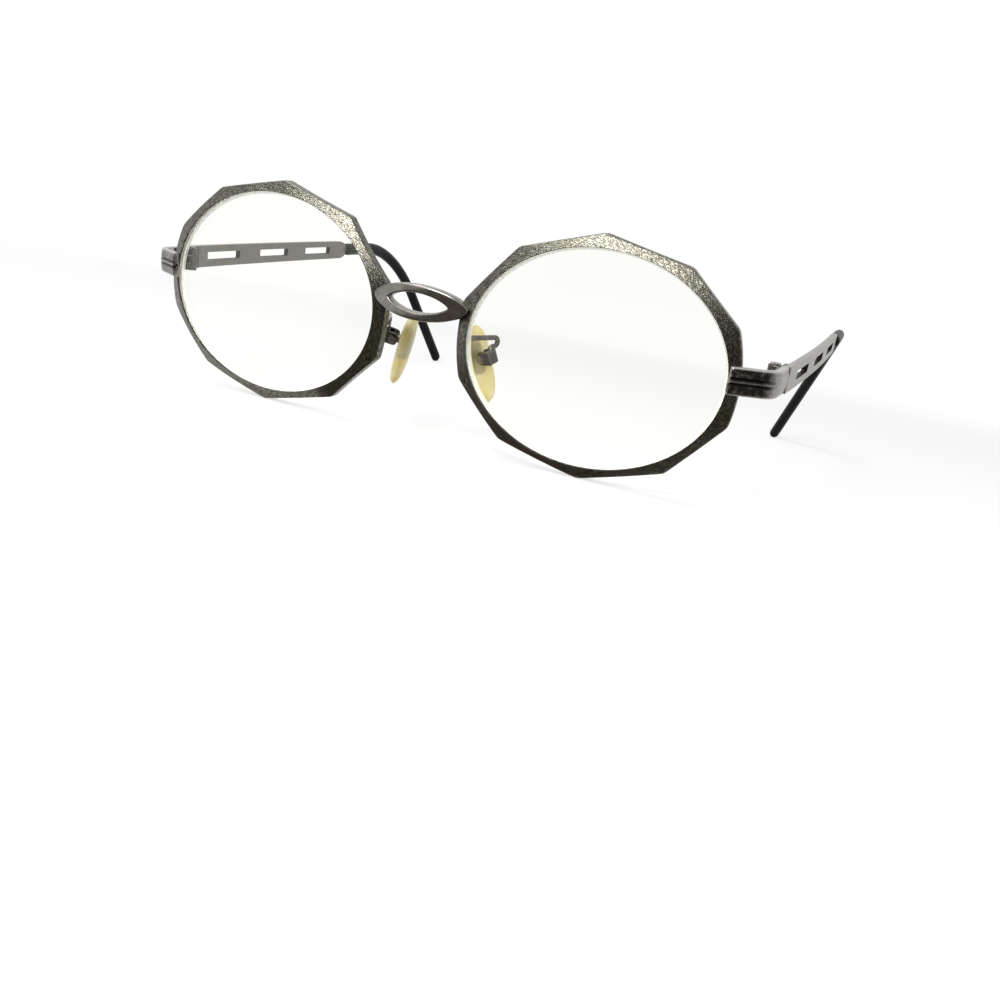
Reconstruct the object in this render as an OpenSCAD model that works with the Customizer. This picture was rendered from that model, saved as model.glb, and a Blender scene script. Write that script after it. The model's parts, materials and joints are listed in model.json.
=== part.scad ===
// Oval eyeglasses: two ten-cornered metal rims joined by a pierced bridge,
// with slotted side arms that fold on three-barrel hinges and rocking nose pads.
// Millimetres. Z is up and Y points away from the viewer, towards the wearer's ears.
// The pair stands as on a table: on the rims' lower corners and the tips' ends.
// Every shape is drawn for the wearer's left side and mirrored for the right.

/* [Lenses] */
// Width of the lens opening in a rim
lens_w = 47.8; // [44:0.1:54]
// Height of the lens opening in a rim
lens_h = 38.8; // [34:0.1:44]
// Distance between the middles of the two lenses
lens_pitch = 67.5; // [62:0.5:74]
// Thickness of a lens at its edge
lens_t = 1.9; // [1.6:0.1:2.6]
// Forward bulge of a lens at its middle
lens_bulge = 1.1; // [0.4:0.1:1.8]
// Height of the pointed bevel round a lens
lens_bevel = 0.5; // [0.3:0.05:0.6]
// Clearance between a lens and its groove
lens_gap = 0.06; // [0.03:0.01:0.12]

/* [Rims] */
// Width of a rim's face at its sides
rim_side_w = 2.9; // [2.4:0.05:3.4]
// Width of a rim's face at its top and bottom
rim_top_w = 2.55; // [2.2:0.05:3.2]
// Backward slope of a rim's face, as depth over width
rim_slope = 0.5; // [0.3:0.05:0.7]
// Depth of a rim's outer side wall
rim_wall = 2; // [1.6:0.1:2.6]
// Depth of a rim's inner wall, which holds the groove
rim_inner = 2.4; // [2.2:0.1:3]
// How far a rim's two curved sides lie inside the outline's ellipse, as a share of its size
rim_flat = 0.03; // [0:0.005:0.04]
// Eased edge between a rim's face and its side wall
rim_ease = 0.15; // [0.05:0.05:0.3]
// Distance of the groove's middle behind the rim's front edge
groove_y = 1.2; // [1:0.05:1.4]
// Backward turn of each rim's outer side, in degrees
wrap = 2.5; // [0:0.5:6]
// Width of the split that lets a lens in
split_gap = 0.25; // [0.15:0.05:0.4]

/* [Bridge] */
// Height of the bridge's middle above the lens middles
bridge_z = 4.5; // [2:0.1:7]
// Height of the bridge's pointed oval
bridge_h = 6.6; // [5.6:0.1:8]
// How pointed the oval's ends are: 0.5 is an ellipse, and 1 is nearly two arcs
bridge_point = 0.58; // [0.5:0.02:0.8]
// Height of the hole through the bridge
bridge_hole_h = 3.5; // [2.4:0.1:4.2]
// Length of the hole
bridge_hole_l = 12.2; // [9:0.1:14]
// How pointed the hole's ends are, on the same scale
bridge_hole_point = 0.74; // [0.5:0.02:0.8]
// Thickness of the bridge, front to back
bridge_t = 2.1; // [1.8:0.1:2.6]
// How far the bridge's ends stand in front of the rims' edges
bridge_stand = 0.4; // [0.2:0.1:0.8]
// How far the bridge bows forwards at its middle
bridge_bow = 1.6; // [0:0.1:2.5]
// Bevel along the bridge's front edges
bridge_bevel = 0.4; // [0.1:0.05:0.6]
// How far the bridge's ends stop short of the lens openings
bridge_short = 0.8; // [0.1:0.1:1.2]

/* [End pieces] */
// Height of the end pieces' middle above the lens middles
end_z = 1.7; // [0:0.1:4]
// Height of an end piece
end_h = 4.9; // [4.2:0.1:5.6]
// Thickness of an end piece
end_t = 1.4; // [1.1:0.1:1.8]
// Length of the straight part on the rim
end_lap_l = 5.9; // [5.8:0.1:8]
// Outside radius of the bend
end_r = 5.2; // [4:0.1:6]
// Length of the straight part behind the bend
end_rear_l = 6; // [5:0.1:8]
// How deep an end piece is let into the rim's face
end_seat = 0.2; // [0.05:0.05:0.3]
// Width of each of the two grooves along the face
end_groove_w = 0.6; // [0.3:0.1:0.9]
// Depth of those grooves
end_groove_d = 0.2; // [0.1:0.05:0.3]
// Width of the ridge between them
end_ridge_w = 0.35; // [0.2:0.05:0.6]

/* [Closing blocks] */
// Height of each of the two blocks beside the split
block_h = 1.6; // [1.4:0.1:2.6]
// Depth of the blocks
block_d = 2.4; // [2.1:0.1:2.8]
// Distance from the lens to the blocks' far side
block_l = 5.3; // [5.1:0.1:5.8]
// Radius of the closing screw
closing_screw_r = 0.5; // [0.4:0.05:0.6]
// Distance of the closing screw from the lens
closing_screw_l = 3.95; // [3.8:0.05:4.2]

/* [Hinges] */
// Height of a hinge's three barrels together
hinge_h = 4.7; // [4.2:0.1:6.4]
// Height of the middle barrel
hinge_mid_h = 1.7; // [1.4:0.1:2.2]
// Radius of the barrels
barrel_r = 1.25; // [1.1:0.05:1.5]
// Thickness of the hinge leaves
leaf_t = 0.6; // [0.4:0.05:0.8]
// Length of each leaf from the joint line
leaf_l = 4.4; // [3.6:0.1:4.8]
// Radius of the hinge screw
hinge_screw_r = 0.6; // [0.5:0.05:0.7]
// Running clearance round the hinge screw and the pad screws
run_gap = 0.05; // [0.02:0.01:0.1]
// Gap at the joint line between an end piece and its side arm
fold_gap = 0.12; // [0.06:0.02:0.2]
// Clearance round a barrel as the side arm swings
swing_gap = 0.12; // [0.08:0.02:0.2]

/* [Side arms] */
// Outward splay of a side arm at its hinge, in degrees
splay = 5.5; // [0:0.5:8]
// Length of a side arm's metal strip
temple_l = 75.5; // [70:0.5:88]
// Height of the strip
temple_h = 4.8; // [4.2:0.1:5.6]
// Thickness of the strip
temple_t = 1.2; // [1:0.1:1.5]
// Radius of the strip's slight inward bow
bow_r = 1120; // [700:10:2000]
// Distance from the joint line to the first slot
slot_first = 8.7; // [7:0.1:12]
// Length of a slot
slot_l = 13.2; // [8:0.1:16]
// Height of a slot
slot_h = 1.8; // [1:0.1:2.2]
// Distance from one slot to the next
slot_pitch = 22.2; // [18:0.1:23]
// Length of the strip's rounded end
neck_l = 4; // [3:0.5:7]
// Height of the strip where it enters the tip
neck_h = 1.7; // [1.4:0.1:3]

/* [Tips] */
// Length of a tip
tip_l = 72; // [60:1:80]
// Thickness of a tip
tip_t = 2.9; // [2.4:0.1:3.6]
// Height of a tip at its front
tip_h = 3.4; // [3:0.1:4]
// Height of a tip at its end
tip_end_h = 3.8; // [3.2:0.1:5]
// Distance from the metal's end to the start of the ear bend
ear_start = 15; // [8:0.5:20]
// Radius of the ear bend
ear_r = 27; // [20:1:36]
// Angle of the ear bend, in degrees
ear_bend = 66; // [40:1:80]
// Inward lean of the bent part, in degrees
ear_roll = 19; // [0:1:30]
// Radius of the core wire inside the tip
core_r = 0.6; // [0.4:0.05:0.8]
// Clearance round the core wire
core_gap = 0.05; // [0.02:0.01:0.1]

/* [Nose pads] */
// Sideways distance of the pad screws from the middle
pad_x = 10.3; // [9.6:0.1:12]
// Distance of the pad screws behind the rims' front edges
pad_y = 9.6; // [9:0.1:12]
// Distance of the pad screws below the lens middles
pad_z = 5; // [4:0.1:7]
// Backward tilt of a pad's lower end, in degrees
pad_tilt = 18; // [8:1:24]
// Outward flare of a pad's lower end, in degrees
pad_flare = 13; // [6:1:20]
// Outward splay of a pad's rear edge, in degrees
pad_splay = 15; // [0:1:20]
// Length of a pad
pad_l = 15.8; // [13:0.1:17]
// Width of a pad
pad_w = 8; // [6:0.1:9]
// Thickness of a pad
pad_t = 2.4; // [1.9:0.1:2.8]
// How square a pad's outline is: 1 is an oval, and less is squarer
pad_square = 0.65; // [0.6:0.05:1]
// Distance of a pad's middle below its screw
pad_drop = 1.8; // [0:0.1:3]
// Distance from the pad screw to the pad's back
pad_gap = 1.4; // [1.35:0.05:2]
// Radius of the pad screw
pad_screw_r = 0.5; // [0.4:0.05:0.6]
// Radius of the rounded eye on the pad's metal insert
eye_r = 0.85; // [0.75:0.05:0.95]
// Width of that eye
eye_w = 1.3; // [1:0.1:1.6]
// Side play of the eye in its box
eye_gap = 0.07; // [0.04:0.01:0.12]
// Wall of the pad box
box_wall = 0.5; // [0.4:0.05:0.7]
// Height of the pad box
box_h = 2.7; // [2.3:0.1:3.2]
// Radius of the pad arm's wire
arm_r = 0.5; // [0.4:0.05:0.55]
// Radius of the pad arm's hairpin
arm_turn_r = 0.85; // [0.75:0.05:1]

/* [Hidden] */
left = 1;
right = -1;
$fn = 40;

// Colours
pewter = [0.40, 0.39, 0.37];
satin = [0.58, 0.57, 0.55];
steel = [0.50, 0.48, 0.45];
tint = [0.96, 0.96, 0.90, 0.35];
black = [0.05, 0.05, 0.06];
amber = [0.86, 0.76, 0.45, 0.8];

// Screw heads and small seats
head_over = 0.35;    // how far a screw's head stands out past its shaft
head_t = 0.35;       // height of a screw's head
head_slot_w = 0.3;   // width of the driver slot
head_slot_d = 0.18;  // depth of the driver slot
thread_gap = 0.02;   // clearance of a screw in the piece that it is driven into
insert_t = 0.5;      // thickness of the plate inside a pad
insert_w = 3.6;      // width of that plate
insert_l = 7.2;      // length of that plate
insert_neck_h = 1.3; // height of the neck between the plate and its eye
insert_gap = 0.04;   // clearance of the plate in the pad
beyond = 1;          // how far a cut runs past the faces that it opens
through = 60;        // length of a cut that passes right through

// Opening and outline of a rim, in the rim's own frame: X towards the ear, Z up
lens_x = lens_pitch / 2;
open_a = lens_w / 2;
open_b = lens_h / 2;
outer_a = open_a + rim_side_w;
outer_b = open_b + rim_top_w;
groove_d = lens_bevel + lens_gap;

// The ten corners, as angles on the outline's ellipse. The sides between them are
// straight but for the one at the ear and the one at the nose, which stay curved.
corners = [-158, -125, -88, -52, -18, 27, 58, 93, 128, 163];
ear_side = 4;
nose_side = 9;
corner_ease_angle = 0.9;  // half of the small flat across each corner, in degrees
rim_step_angle = 4;       // largest angle from one section of a rim to the next

function side_end(i) = i < len(corners) - 1 ? corners[i + 1] : corners[0] + 360;
function side_reach(i, at) =
    let (half = (side_end(i) - corners[i]) / 2, off = at - corners[i] - half)
    i == ear_side || i == nose_side ? 1 - rim_flat * (1 - off * off / (half * half))
    : cos(half) / cos(off);

// One entry for each section of a rim: its angle and how far out the outline lies
rim_stations = [
    for (i = [0 : len(corners) - 1])
    let (from = corners[i] + corner_ease_angle, to = side_end(i) - corner_ease_angle,
         steps = ceil((to - from) / rim_step_angle))
    for (j = [0 : steps])
    let (at = from + (to - from) * j / steps)
    [at, side_reach(i, at)]
];

// Section of a rim, as distance out from the opening and distance back
function rim_profile(width, grooved) = concat(
    [[0, rim_inner],
     [width, rim_slope * width + rim_wall],
     [width, rim_slope * width + rim_ease],
     [width - rim_ease, rim_slope * (width - rim_ease)],
     [0, 0]],
    grooved ? [[0, groove_y - groove_d], [groove_d, groove_y], [0, groove_y + groove_d]] : []);

function rim_section(station, grooved) =
    let (at = station[0], reach = station[1],
         inner = [open_a * cos(at), open_b * sin(at)],
         outer = [outer_a * cos(at), outer_b * sin(at)] * reach,
         out = (outer - inner) / norm(outer - inner))
    [for (p = rim_profile(norm(outer - inner), grooved))
        [inner[0] + out[0] * p[0], p[1], inner[1] + out[1] * p[0]]];

// From a rim's own frame to the front's frame, whose origin lies midway between the lenses
function turned(p) = [
    lens_x + p[0] * cos(wrap) - p[1] * sin(wrap),
    p[0] * sin(wrap) + p[1] * cos(wrap),
    p[2]];

// Closed and open skins over rings of points that all have the same count
function skin_faces(rings, sides, closed) = [
    for (i = [0 : rings - (closed ? 1 : 2)])
    for (j = [0 : sides - 1])
    let (next = (i + 1) % rings, a = i * sides + j, b = i * sides + (j + 1) % sides,
         c = next * sides + (j + 1) % sides, d = next * sides + j)
    each [[a, b, c], [a, c, d]]
];
module ring_skin(rings) {
    polyhedron(
        points = [for (ring = rings) each ring],
        faces = skin_faces(len(rings), len(rings[0]), true),
        convexity = 6);
}
module capped_skin(rings) {
    sides = len(rings[0]);
    last = (len(rings) - 1) * sides;
    polyhedron(
        points = [for (ring = rings) each ring],
        faces = concat(
            skin_faces(len(rings), sides, false),
            [[for (j = [sides - 1 : -1 : 0]) j], [for (j = [0 : sides - 1]) last + j]]),
        convexity = 6);
}

// An oval ring of points round a place on a path, clockwise as seen along the path
function oval(centre, across, up, half_w, half_h, sides) = [
    for (k = [0 : sides - 1])
    centre + across * (half_w * cos(360 * k / sides)) - up * (half_h * sin(360 * k / sides))
];

// End piece: it lies along the rim's sloping face, and its outer face runs from the lens,
// round the bend, to the joint line
end_slope = wrap + atan(rim_slope);
lens_edge = turned([open_a * cos(asin(end_z / open_b)), 0, end_z]);
lap_dir = [cos(end_slope), sin(end_slope)];
lap_out = [sin(end_slope), -cos(end_slope)];
lap_start = [lens_edge[0], lens_edge[1]] - lap_out * end_seat;
bend_centre = lap_start + lap_dir * end_lap_l + lap_out * (end_t - end_r);
joint = bend_centre
    + [cos(splay), -sin(splay)] * end_r
    + [sin(splay), cos(splay)] * end_rear_l;
bend_steps = 8;

// Face of the end piece at a given depth under its outer face
function end_line(depth) = concat(
    [lap_start + lap_out * (end_t - depth)],
    [for (i = [0 : bend_steps])
        let (h = end_slope + (90 - splay - end_slope) * i / bend_steps)
        bend_centre + [sin(h), -cos(h)] * (end_r - depth)],
    [joint - [cos(splay), -sin(splay)] * depth - [sin(splay), cos(splay)] * fold_gap / 2]);

// Hinge, in the frame of the joint line: X out of the outer face, Y along the side arm
pivot_in = max(end_t, temple_t) + barrel_r + swing_gap;
leaf_start = barrel_r + swing_gap;
barrel_gap = 0.04;   // gap between one barrel and the next

// Side arm: the strip is straight along the hinge leaf and follows a wide arc behind it
function strip_point(length, depth) =
    let (turn = max(length - leaf_l, 0) / bow_r * 180 / PI)
    [-bow_r + (bow_r - depth) * cos(turn), min(length, leaf_l) + (bow_r - depth) * sin(turn)];
strip_steps = 12;
neck_steps = 6;
slot_count = 3;

// Core wire and tip: straight on, round the ear bend, and straight to the end
end_turn = (temple_l - leaf_l) / bow_r * 180 / PI;
core_start = [each strip_point(temple_l, temple_t / 2), 0];
core_on = [-sin(end_turn), cos(end_turn), 0];
core_down = [-cos(end_turn) * sin(ear_roll), -sin(end_turn) * sin(ear_roll), -cos(ear_roll)];
core_across = cross(core_on, core_down);
ear_arc_l = ear_r * ear_bend * PI / 180;

function ear_angle(t) = min(max((t - ear_start) / ear_r * 180 / PI, 0), ear_bend);
function ear_on(t) = core_on * cos(ear_angle(t)) + core_down * sin(ear_angle(t));
function ear_place(t) =
    core_start
    + core_on * (min(t, ear_start) + ear_r * sin(ear_angle(t)))
    + core_down * (ear_r * (1 - cos(ear_angle(t))))
    + ear_on(t) * max(t - ear_start - ear_arc_l, 0);

ear_step = 3;        // largest distance from one ring of the tip to the next
tip_sides = 12;
tip_front = 0.8;     // the tip's front face, behind the strip's end
tip_front_share = 0.8;
tip_full = 1.8;      // where the tip reaches its full section
tip_round = 1.6;     // length of the tip's rounded end
core_short = 7;      // how far the core wire stops short of the tip's end
core_end = tip_l - core_short;
core_inside = 4;     // length of the core wire that is one with the strip
body_l = tip_l - tip_round - tip_full;
body_rings = ceil(body_l / ear_step);
tip_stations = concat(
    [[tip_front, tip_front_share]],
    [for (i = [0 : body_rings]) [tip_full + body_l * i / body_rings, 1]],
    [for (a = [30, 60, 80]) [tip_l - tip_round + tip_round * sin(a), cos(a)]]);
core_rings = ceil((core_end - tip_front) / ear_step);
core_stations = [for (i = [0 : core_rings]) tip_front + (core_end - tip_front) * i / core_rings];

function tip_ring(t, scale) =
    let (h = tip_h + (tip_end_h - tip_h) * t / tip_l)
    oval(ear_place(t), core_across, cross(ear_on(t), core_across),
         tip_t / 2 * scale, h / 2 * scale, tip_sides);
function core_ring(t, r) =
    oval(ear_place(t), core_across, cross(ear_on(t), core_across), r, r, tip_sides);
tip_outside = [for (s = tip_stations) tip_ring(s[0], s[1])];

// Nose pad, in the frame of its screw: X away from the nose, Y along the screw, Z up
pad_mid = [-pad_gap - pad_t / 2, 0, -pad_drop];
pad_taper = 0.12;    // how much narrower a pad is below than above
pad_crown = 0.3;     // how far each face swells at its middle
pad_sides = 24;
box_half_w = eye_w / 2 + eye_gap + box_wall;
box_front = 0.95;    // reach of the box's cheeks past the screw, towards the pad
eye_room = 0.2;      // room behind the eye, in which it rocks
box_inner = eye_r + eye_room;
arm_margin = 0.05;   // metal of the box's back wall on each side of the wire
box_back_t = 2 * (arm_r + arm_margin);
// Slices of a pad along its thickness: place in halves of its thickness, crown and outline as shares
pad_slices = [
    [-1, -0.8, 0.35], [-1, -0.4, 0.7], [-1, 0, 0.9], [-0.5, 0, 1],
    [0.5, 0, 1], [1, 0, 0.9], [1, 0, 0.3]
];

// Pad arm: it leaves the rim's back at the nose side, turns in a hairpin and drops on the box
arm_at = 183.5;      // angle on the rim where the arm is soldered
arm_root = 0.3;      // how far the wire's start lies inside the rim
arm_over = 0.9;      // how far the hairpin's turn reaches past the box's back wall
arm_trim = 0.6;      // length of the wire's end that is trimmed to the box's top
arm_sides = 10;

// Bridge: a pointed oval round a pointed hole. Its ends lie on the rims' faces
bridge_a = lens_x - open_a * cos(asin(bridge_z / open_b)) * cos(wrap) - bridge_short;
bridge_end_y = -open_a * sin(wrap) - bridge_stand;
function pointed_oval(at, a, h, point) =
    [a * cos(at), h * sign(sin(at)) * pow(abs(sin(at)), 2 * point)];
function bridge_section(at) =
    let (outer = pointed_oval(at, bridge_a, bridge_h / 2, bridge_point),
         inner = pointed_oval(at, bridge_hole_l / 2, bridge_hole_h / 2, bridge_hole_point),
         run = (inner - outer) / norm(inner - outer),
         wide = norm(inner - outer))
    [for (p = [[0, bridge_t], [0, bridge_bevel], [bridge_bevel, 0],
               [wide - bridge_bevel, 0], [wide, bridge_bevel], [wide, bridge_t]])
        let (x = outer[0] + run[0] * p[0], share = x / bridge_a)
        [x, bridge_end_y - bridge_bow * (1 - share * share) + p[1],
         bridge_z + outer[1] + run[1] * p[0]]];
bridge_step_angle = 7.5;
bridge_sections = [for (at = [0 : bridge_step_angle : 359]) bridge_section(at)];

// Lean of the front on a table, from the lowest points of the rims and of the tips
rim_rest_points = [for (s = rim_stations)
    let (section = rim_section(s, false)) each [turned(section[1]), turned(section[2]), turned(section[3])]];
tip_rest_points = [for (ring = tip_outside) for (p = ring) from_joint(p)];
bridge_rest_points = [for (section = bridge_sections) each section];
function from_joint(p) = [
    joint[0] + p[0] * cos(splay) + p[1] * sin(splay),
    joint[1] - p[0] * sin(splay) + p[1] * cos(splay),
    end_z + p[2]];
function height(p, angle) = p[1] * sin(angle) + p[2] * cos(angle);
function depth(p, angle) = p[1] * cos(angle) - p[2] * sin(angle);
function lowest(points, angle) =
    let (bottom = min([for (p = points) height(p, angle)]))
    [for (p = points) if (height(p, angle) == bottom) p][0];
function level(front, rear) = atan((front[2] - rear[2]) / (rear[1] - front[1]));
function lean_from(angle) = level(lowest(rim_rest_points, angle), lowest(tip_rest_points, angle));
lean = lean_from(lean_from(lean_from(0)));
lift = -min(height(lowest(rim_rest_points, lean), lean), height(lowest(tip_rest_points, lean), lean));
front_y = min([for (p = concat(rim_rest_points, bridge_rest_points)) depth(p, lean)]);
rear_y = max([for (p = tip_rest_points) depth(p, lean)]);

// Stands the front's frame on the table, for one side of the face
module worn(side) {
    translate([0, -(front_y + rear_y) / 2, lift])
    rotate([lean, 0, 0])
    if (side == right) {
        mirror([1, 0, 0]) children();
    } else {
        children();
    }
}
module on_rim() {
    translate([lens_x, 0, 0]) rotate([0, 0, wrap]) children();
}
module on_lap() {
    translate([lap_start[0], lap_start[1], end_z]) rotate([0, 0, end_slope]) children();
}
module at_joint() {
    translate([joint[0], joint[1], end_z]) rotate([0, 0, -splay]) children();
}
module at_pad() {
    translate([pad_x, pad_y, -pad_z])
    rotate([0, 0, -pad_splay])
    rotate([pad_tilt, 0, 0])
    rotate([0, -pad_flare, 0])
    children();
}

// A block between two corners
module block(low, high) {
    translate(low) cube(high - low);
}

// A slotted screw along Z, with its head's underside at zero and its shaft below
module screw(radius, length) {
    difference() {
        union() {
            translate([0, 0, -length]) cylinder(r = radius, h = length);
            cylinder(r = radius + head_over, h = head_t);
        }
        block([-radius - beyond, -head_slot_w / 2, head_t - head_slot_d],
              [radius + beyond, head_slot_w / 2, head_t + beyond]);
    }
}

// The rim without its groove and its split, to seat what is soldered on it
module rim_blank() {
    on_rim() ring_skin([for (s = rim_stations) rim_section(s, false)]);
}

// Everything inside the rim's outline, from front to back
module rim_column() {
    on_rim()
    rotate([90, 0, 0])
    linear_extrude(height = through, center = true)
    polygon([for (s = rim_stations) [outer_a * cos(s[0]), outer_b * sin(s[0])] * s[1]]);
}

module rim(side) {
    color(pewter) worn(side) difference() {
        on_rim() ring_skin([for (s = rim_stations) rim_section(s, true)]);
        block([lens_x + open_a - beyond, -through / 2, end_z - split_gap / 2],
              [lens_x + outer_a + 2 * beyond, through / 2, end_z + split_gap / 2]);
    }
}

// A lens runs from just in front of its bevel, and swells forwards from its edge to its middle
lens_lip = 0.2;          // how far a lens stands in front of its bevel
lens_step_angle = 3.75;  // angle from one point of a lens ring to the next
lens_rings = [0.3, 0.55, 0.8, 1];

module lens(side) {
    half_a = open_a - lens_gap;
    half_b = open_b - lens_gap;
    front = groove_y - lens_bevel - lens_lip;
    last = len(lens_rings) - 1;
    function edge(y, out) = [
        for (a = [0 : lens_step_angle : 359]) [(half_a + out) * cos(a), y, (half_b + out) * sin(a)]];
    function face(y, share) = [
        for (a = [0 : lens_step_angle : 359])
        [half_a * share * cos(a), y - lens_bulge * (1 - share * share), half_b * share * sin(a)]];
    color(tint) worn(side) on_rim() capped_skin(concat(
        [for (share = lens_rings) face(front, share)],
        [edge(groove_y - lens_bevel, 0), edge(groove_y, lens_bevel), edge(groove_y + lens_bevel, 0)],
        [for (i = [last : -1 : 0]) face(front + lens_t, lens_rings[i])]));
}

module bridge() {
    color(satin) worn(left) difference() {
        ring_skin(bridge_sections);
        for (turn = [0, 1]) mirror([turn, 0, 0]) rim_blank();
    }
}

module endpiece(side) {
    outer = end_line(0);
    inner = end_line(end_t);
    inward = [for (i = [len(inner) - 1 : -1 : 0]) inner[i]];
    color(satin) worn(side) difference() {
        translate([0, 0, end_z - end_h / 2])
        linear_extrude(height = end_h)
        polygon(concat(outer, inward));
        rim_blank();
        for (edge = [-1, 1])
        on_lap() translate([0, -end_t, edge * (end_ridge_w + end_groove_w) / 2])
        block([-beyond, -beyond, -end_groove_w / 2],
              [end_lap_l, end_groove_d, end_groove_w / 2]);
    }
}

// A closing block lies on the end piece's back and against the rim, above or below the split
module closing_block(side, up) {
    color(pewter) worn(side) difference() {
        on_lap()
        mirror([0, 0, up > 0 ? 0 : 1])
        difference() {
            block([0, 0, split_gap / 2], [block_l, block_d, split_gap / 2 + block_h]);
            translate([closing_screw_l, block_d / 2, -beyond])
            cylinder(r = closing_screw_r + thread_gap, h = block_h + 2 * beyond);
        }
        rim_column();
    }
}
module closing_block_upper(side) closing_block(side, 1);
module closing_block_lower(side) closing_block(side, -1);

module closing_screw(side) {
    color(steel) worn(side) on_lap()
    translate([closing_screw_l, block_d / 2, split_gap / 2 + block_h])
    screw(closing_screw_r, 2 * block_h + split_gap);
}

module front_hinge(side) {
    web = hinge_h / 2 - hinge_mid_h / 2 - barrel_gap;
    color(pewter) worn(side) at_joint() difference() {
        union() {
            block([-end_t - leaf_t, -leaf_l, -hinge_h / 2], [-end_t, -leaf_start, hinge_h / 2]);
            for (bottom = [-hinge_h / 2, hinge_h / 2 - web]) {
                translate([-pivot_in, 0, bottom]) cylinder(r = barrel_r, h = web);
                block([-pivot_in, -leaf_start - leaf_t, bottom], [-end_t, -fold_gap / 2, bottom + web]);
            }
        }
        translate([-pivot_in, 0, -hinge_h])
        cylinder(r = hinge_screw_r + thread_gap, h = 2 * hinge_h);
    }
}

module temple_hinge(side) {
    color(satin) worn(side) at_joint() difference() {
        union() {
            block([-temple_t - leaf_t, leaf_start, -hinge_h / 2], [-temple_t, leaf_l, hinge_h / 2]);
            translate([-pivot_in, 0, -hinge_mid_h / 2]) cylinder(r = barrel_r, h = hinge_mid_h);
            block([-pivot_in, fold_gap / 2, -hinge_mid_h / 2],
                  [-temple_t, leaf_start + leaf_t, hinge_mid_h / 2]);
        }
        translate([-pivot_in, 0, -hinge_h])
        cylinder(r = hinge_screw_r + run_gap, h = 2 * hinge_h);
    }
}

module hinge_screw(side) {
    color(steel) worn(side) at_joint()
    translate([-pivot_in, 0, hinge_h / 2])
    screw(hinge_screw_r, hinge_h);
}

module temple(side) {
    lengths = concat([fold_gap / 2],
        [for (i = [0 : strip_steps]) leaf_l + (temple_l - leaf_l) * i / strip_steps]);
    inner = [for (i = [strip_steps + 1 : -1 : 0]) strip_point(lengths[i], temple_t)];
    half = temple_h / 2;
    neck = [for (i = [0 : neck_steps])
        let (u = i / neck_steps)
        [temple_l - neck_l * (1 - u), neck_h / 2 + (half - neck_h / 2) * sqrt(1 - u * u)]];
    neck_back = [for (i = [neck_steps : -1 : 0]) [neck[i][0], -neck[i][1]]];
    color(satin) worn(side) at_joint() {
        difference() {
            intersection() {
                translate([0, 0, -half])
                linear_extrude(height = temple_h)
                polygon(concat([for (length = lengths) strip_point(length, 0)], inner));
                rotate([90, 0, 90])
                linear_extrude(height = through, center = true)
                polygon(concat([[0, -half], [0, half]], neck, neck_back));
            }
            for (i = [0 : slot_count - 1])
            block([-through / 2, slot_first + i * slot_pitch, -slot_h / 2],
                  [through / 2, slot_first + i * slot_pitch + slot_l, slot_h / 2]);
        }
        capped_skin(concat([core_ring(-core_inside, core_r)],
                           [for (t = core_stations) core_ring(t, core_r)]));
    }
}

module temple_tip(side) {
    bore_end = core_ring(core_end + core_gap, core_r + core_gap);
    bore = [for (i = [len(core_stations) - 1 : -1 : 0])
        core_ring(core_stations[i], core_r + core_gap)];
    color(black) worn(side) at_joint() capped_skin(concat([bore_end], bore, tip_outside));
}

module pad_arm(side) {
    // The wire keeps to the upright plane through its seat on the rim and the box's back wall
    seat_section = rim_section([arm_at, 1], false);
    seat = turned((seat_section[0] + seat_section[1]) / 2);
    box_top = pad_point([box_inner + box_back_t / 2, 0, box_h / 2]);
    run = [box_top[0] - seat[0], box_top[1] - seat[1]];
    on = [run[0], run[1], 0] / norm(run);
    across = cross(on, [0, 0, 1]);
    top_z = box_top[2] + 3 * arm_turn_r;
    turn_l = norm(run) + arm_over;
    function at(l, z) = [seat[0], seat[1], 0] + on * l + [0, 0, z];
    function ring(place, angle) =
        oval(place, across, cross(on * cos(angle) - [0, 0, 1] * sin(angle), across),
             arm_r, arm_r, arm_sides);
    color(steel) worn(side) difference() {
        capped_skin(concat(
            [ring(at(-arm_root, top_z), 0)],
            [for (a = [0 : 22.5 : 180])
                ring(at(turn_l + arm_turn_r * sin(a), top_z - arm_turn_r * (1 - cos(a))), a)],
            [for (a = [30 : 30 : 90])
                ring(at(norm(run) + arm_turn_r * (1 - sin(a)),
                        box_top[2] + arm_turn_r * cos(a)), 180 - a)],
            [ring(at(norm(run), box_top[2] - arm_trim), 90)]));
        rim_blank();
        at_pad() pad_box_block();
    }
}

// From a pad's own frame to the front's frame
function pad_point(p) =
    let (a = [p[0] * cos(pad_flare) - p[2] * sin(pad_flare), p[1],
              p[0] * sin(pad_flare) + p[2] * cos(pad_flare)],
         b = [a[0], a[1] * cos(pad_tilt) - a[2] * sin(pad_tilt),
              a[1] * sin(pad_tilt) + a[2] * cos(pad_tilt)])
    [pad_x + b[0] * cos(pad_splay) + b[1] * sin(pad_splay),
     pad_y - b[0] * sin(pad_splay) + b[1] * cos(pad_splay),
     -pad_z + b[2]];

module pad_box_block() {
    block([-box_front, -box_half_w, -box_h / 2], [box_inner + box_back_t, box_half_w, box_h / 2]);
}

module pad_box(side) {
    color(pewter) worn(side) at_pad() difference() {
        pad_box_block();
        block([-box_front - beyond, -eye_w / 2 - eye_gap, -box_h],
              [box_inner, eye_w / 2 + eye_gap, box_h]);
        rotate([90, 0, 0])
        cylinder(r = pad_screw_r + thread_gap, h = 4 * box_half_w, center = true);
    }
}

module pad_screw(side) {
    color(steel) worn(side) at_pad()
    translate([0, -box_half_w, 0])
    rotate([90, 0, 0])
    screw(pad_screw_r, 2 * box_half_w);
}

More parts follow.
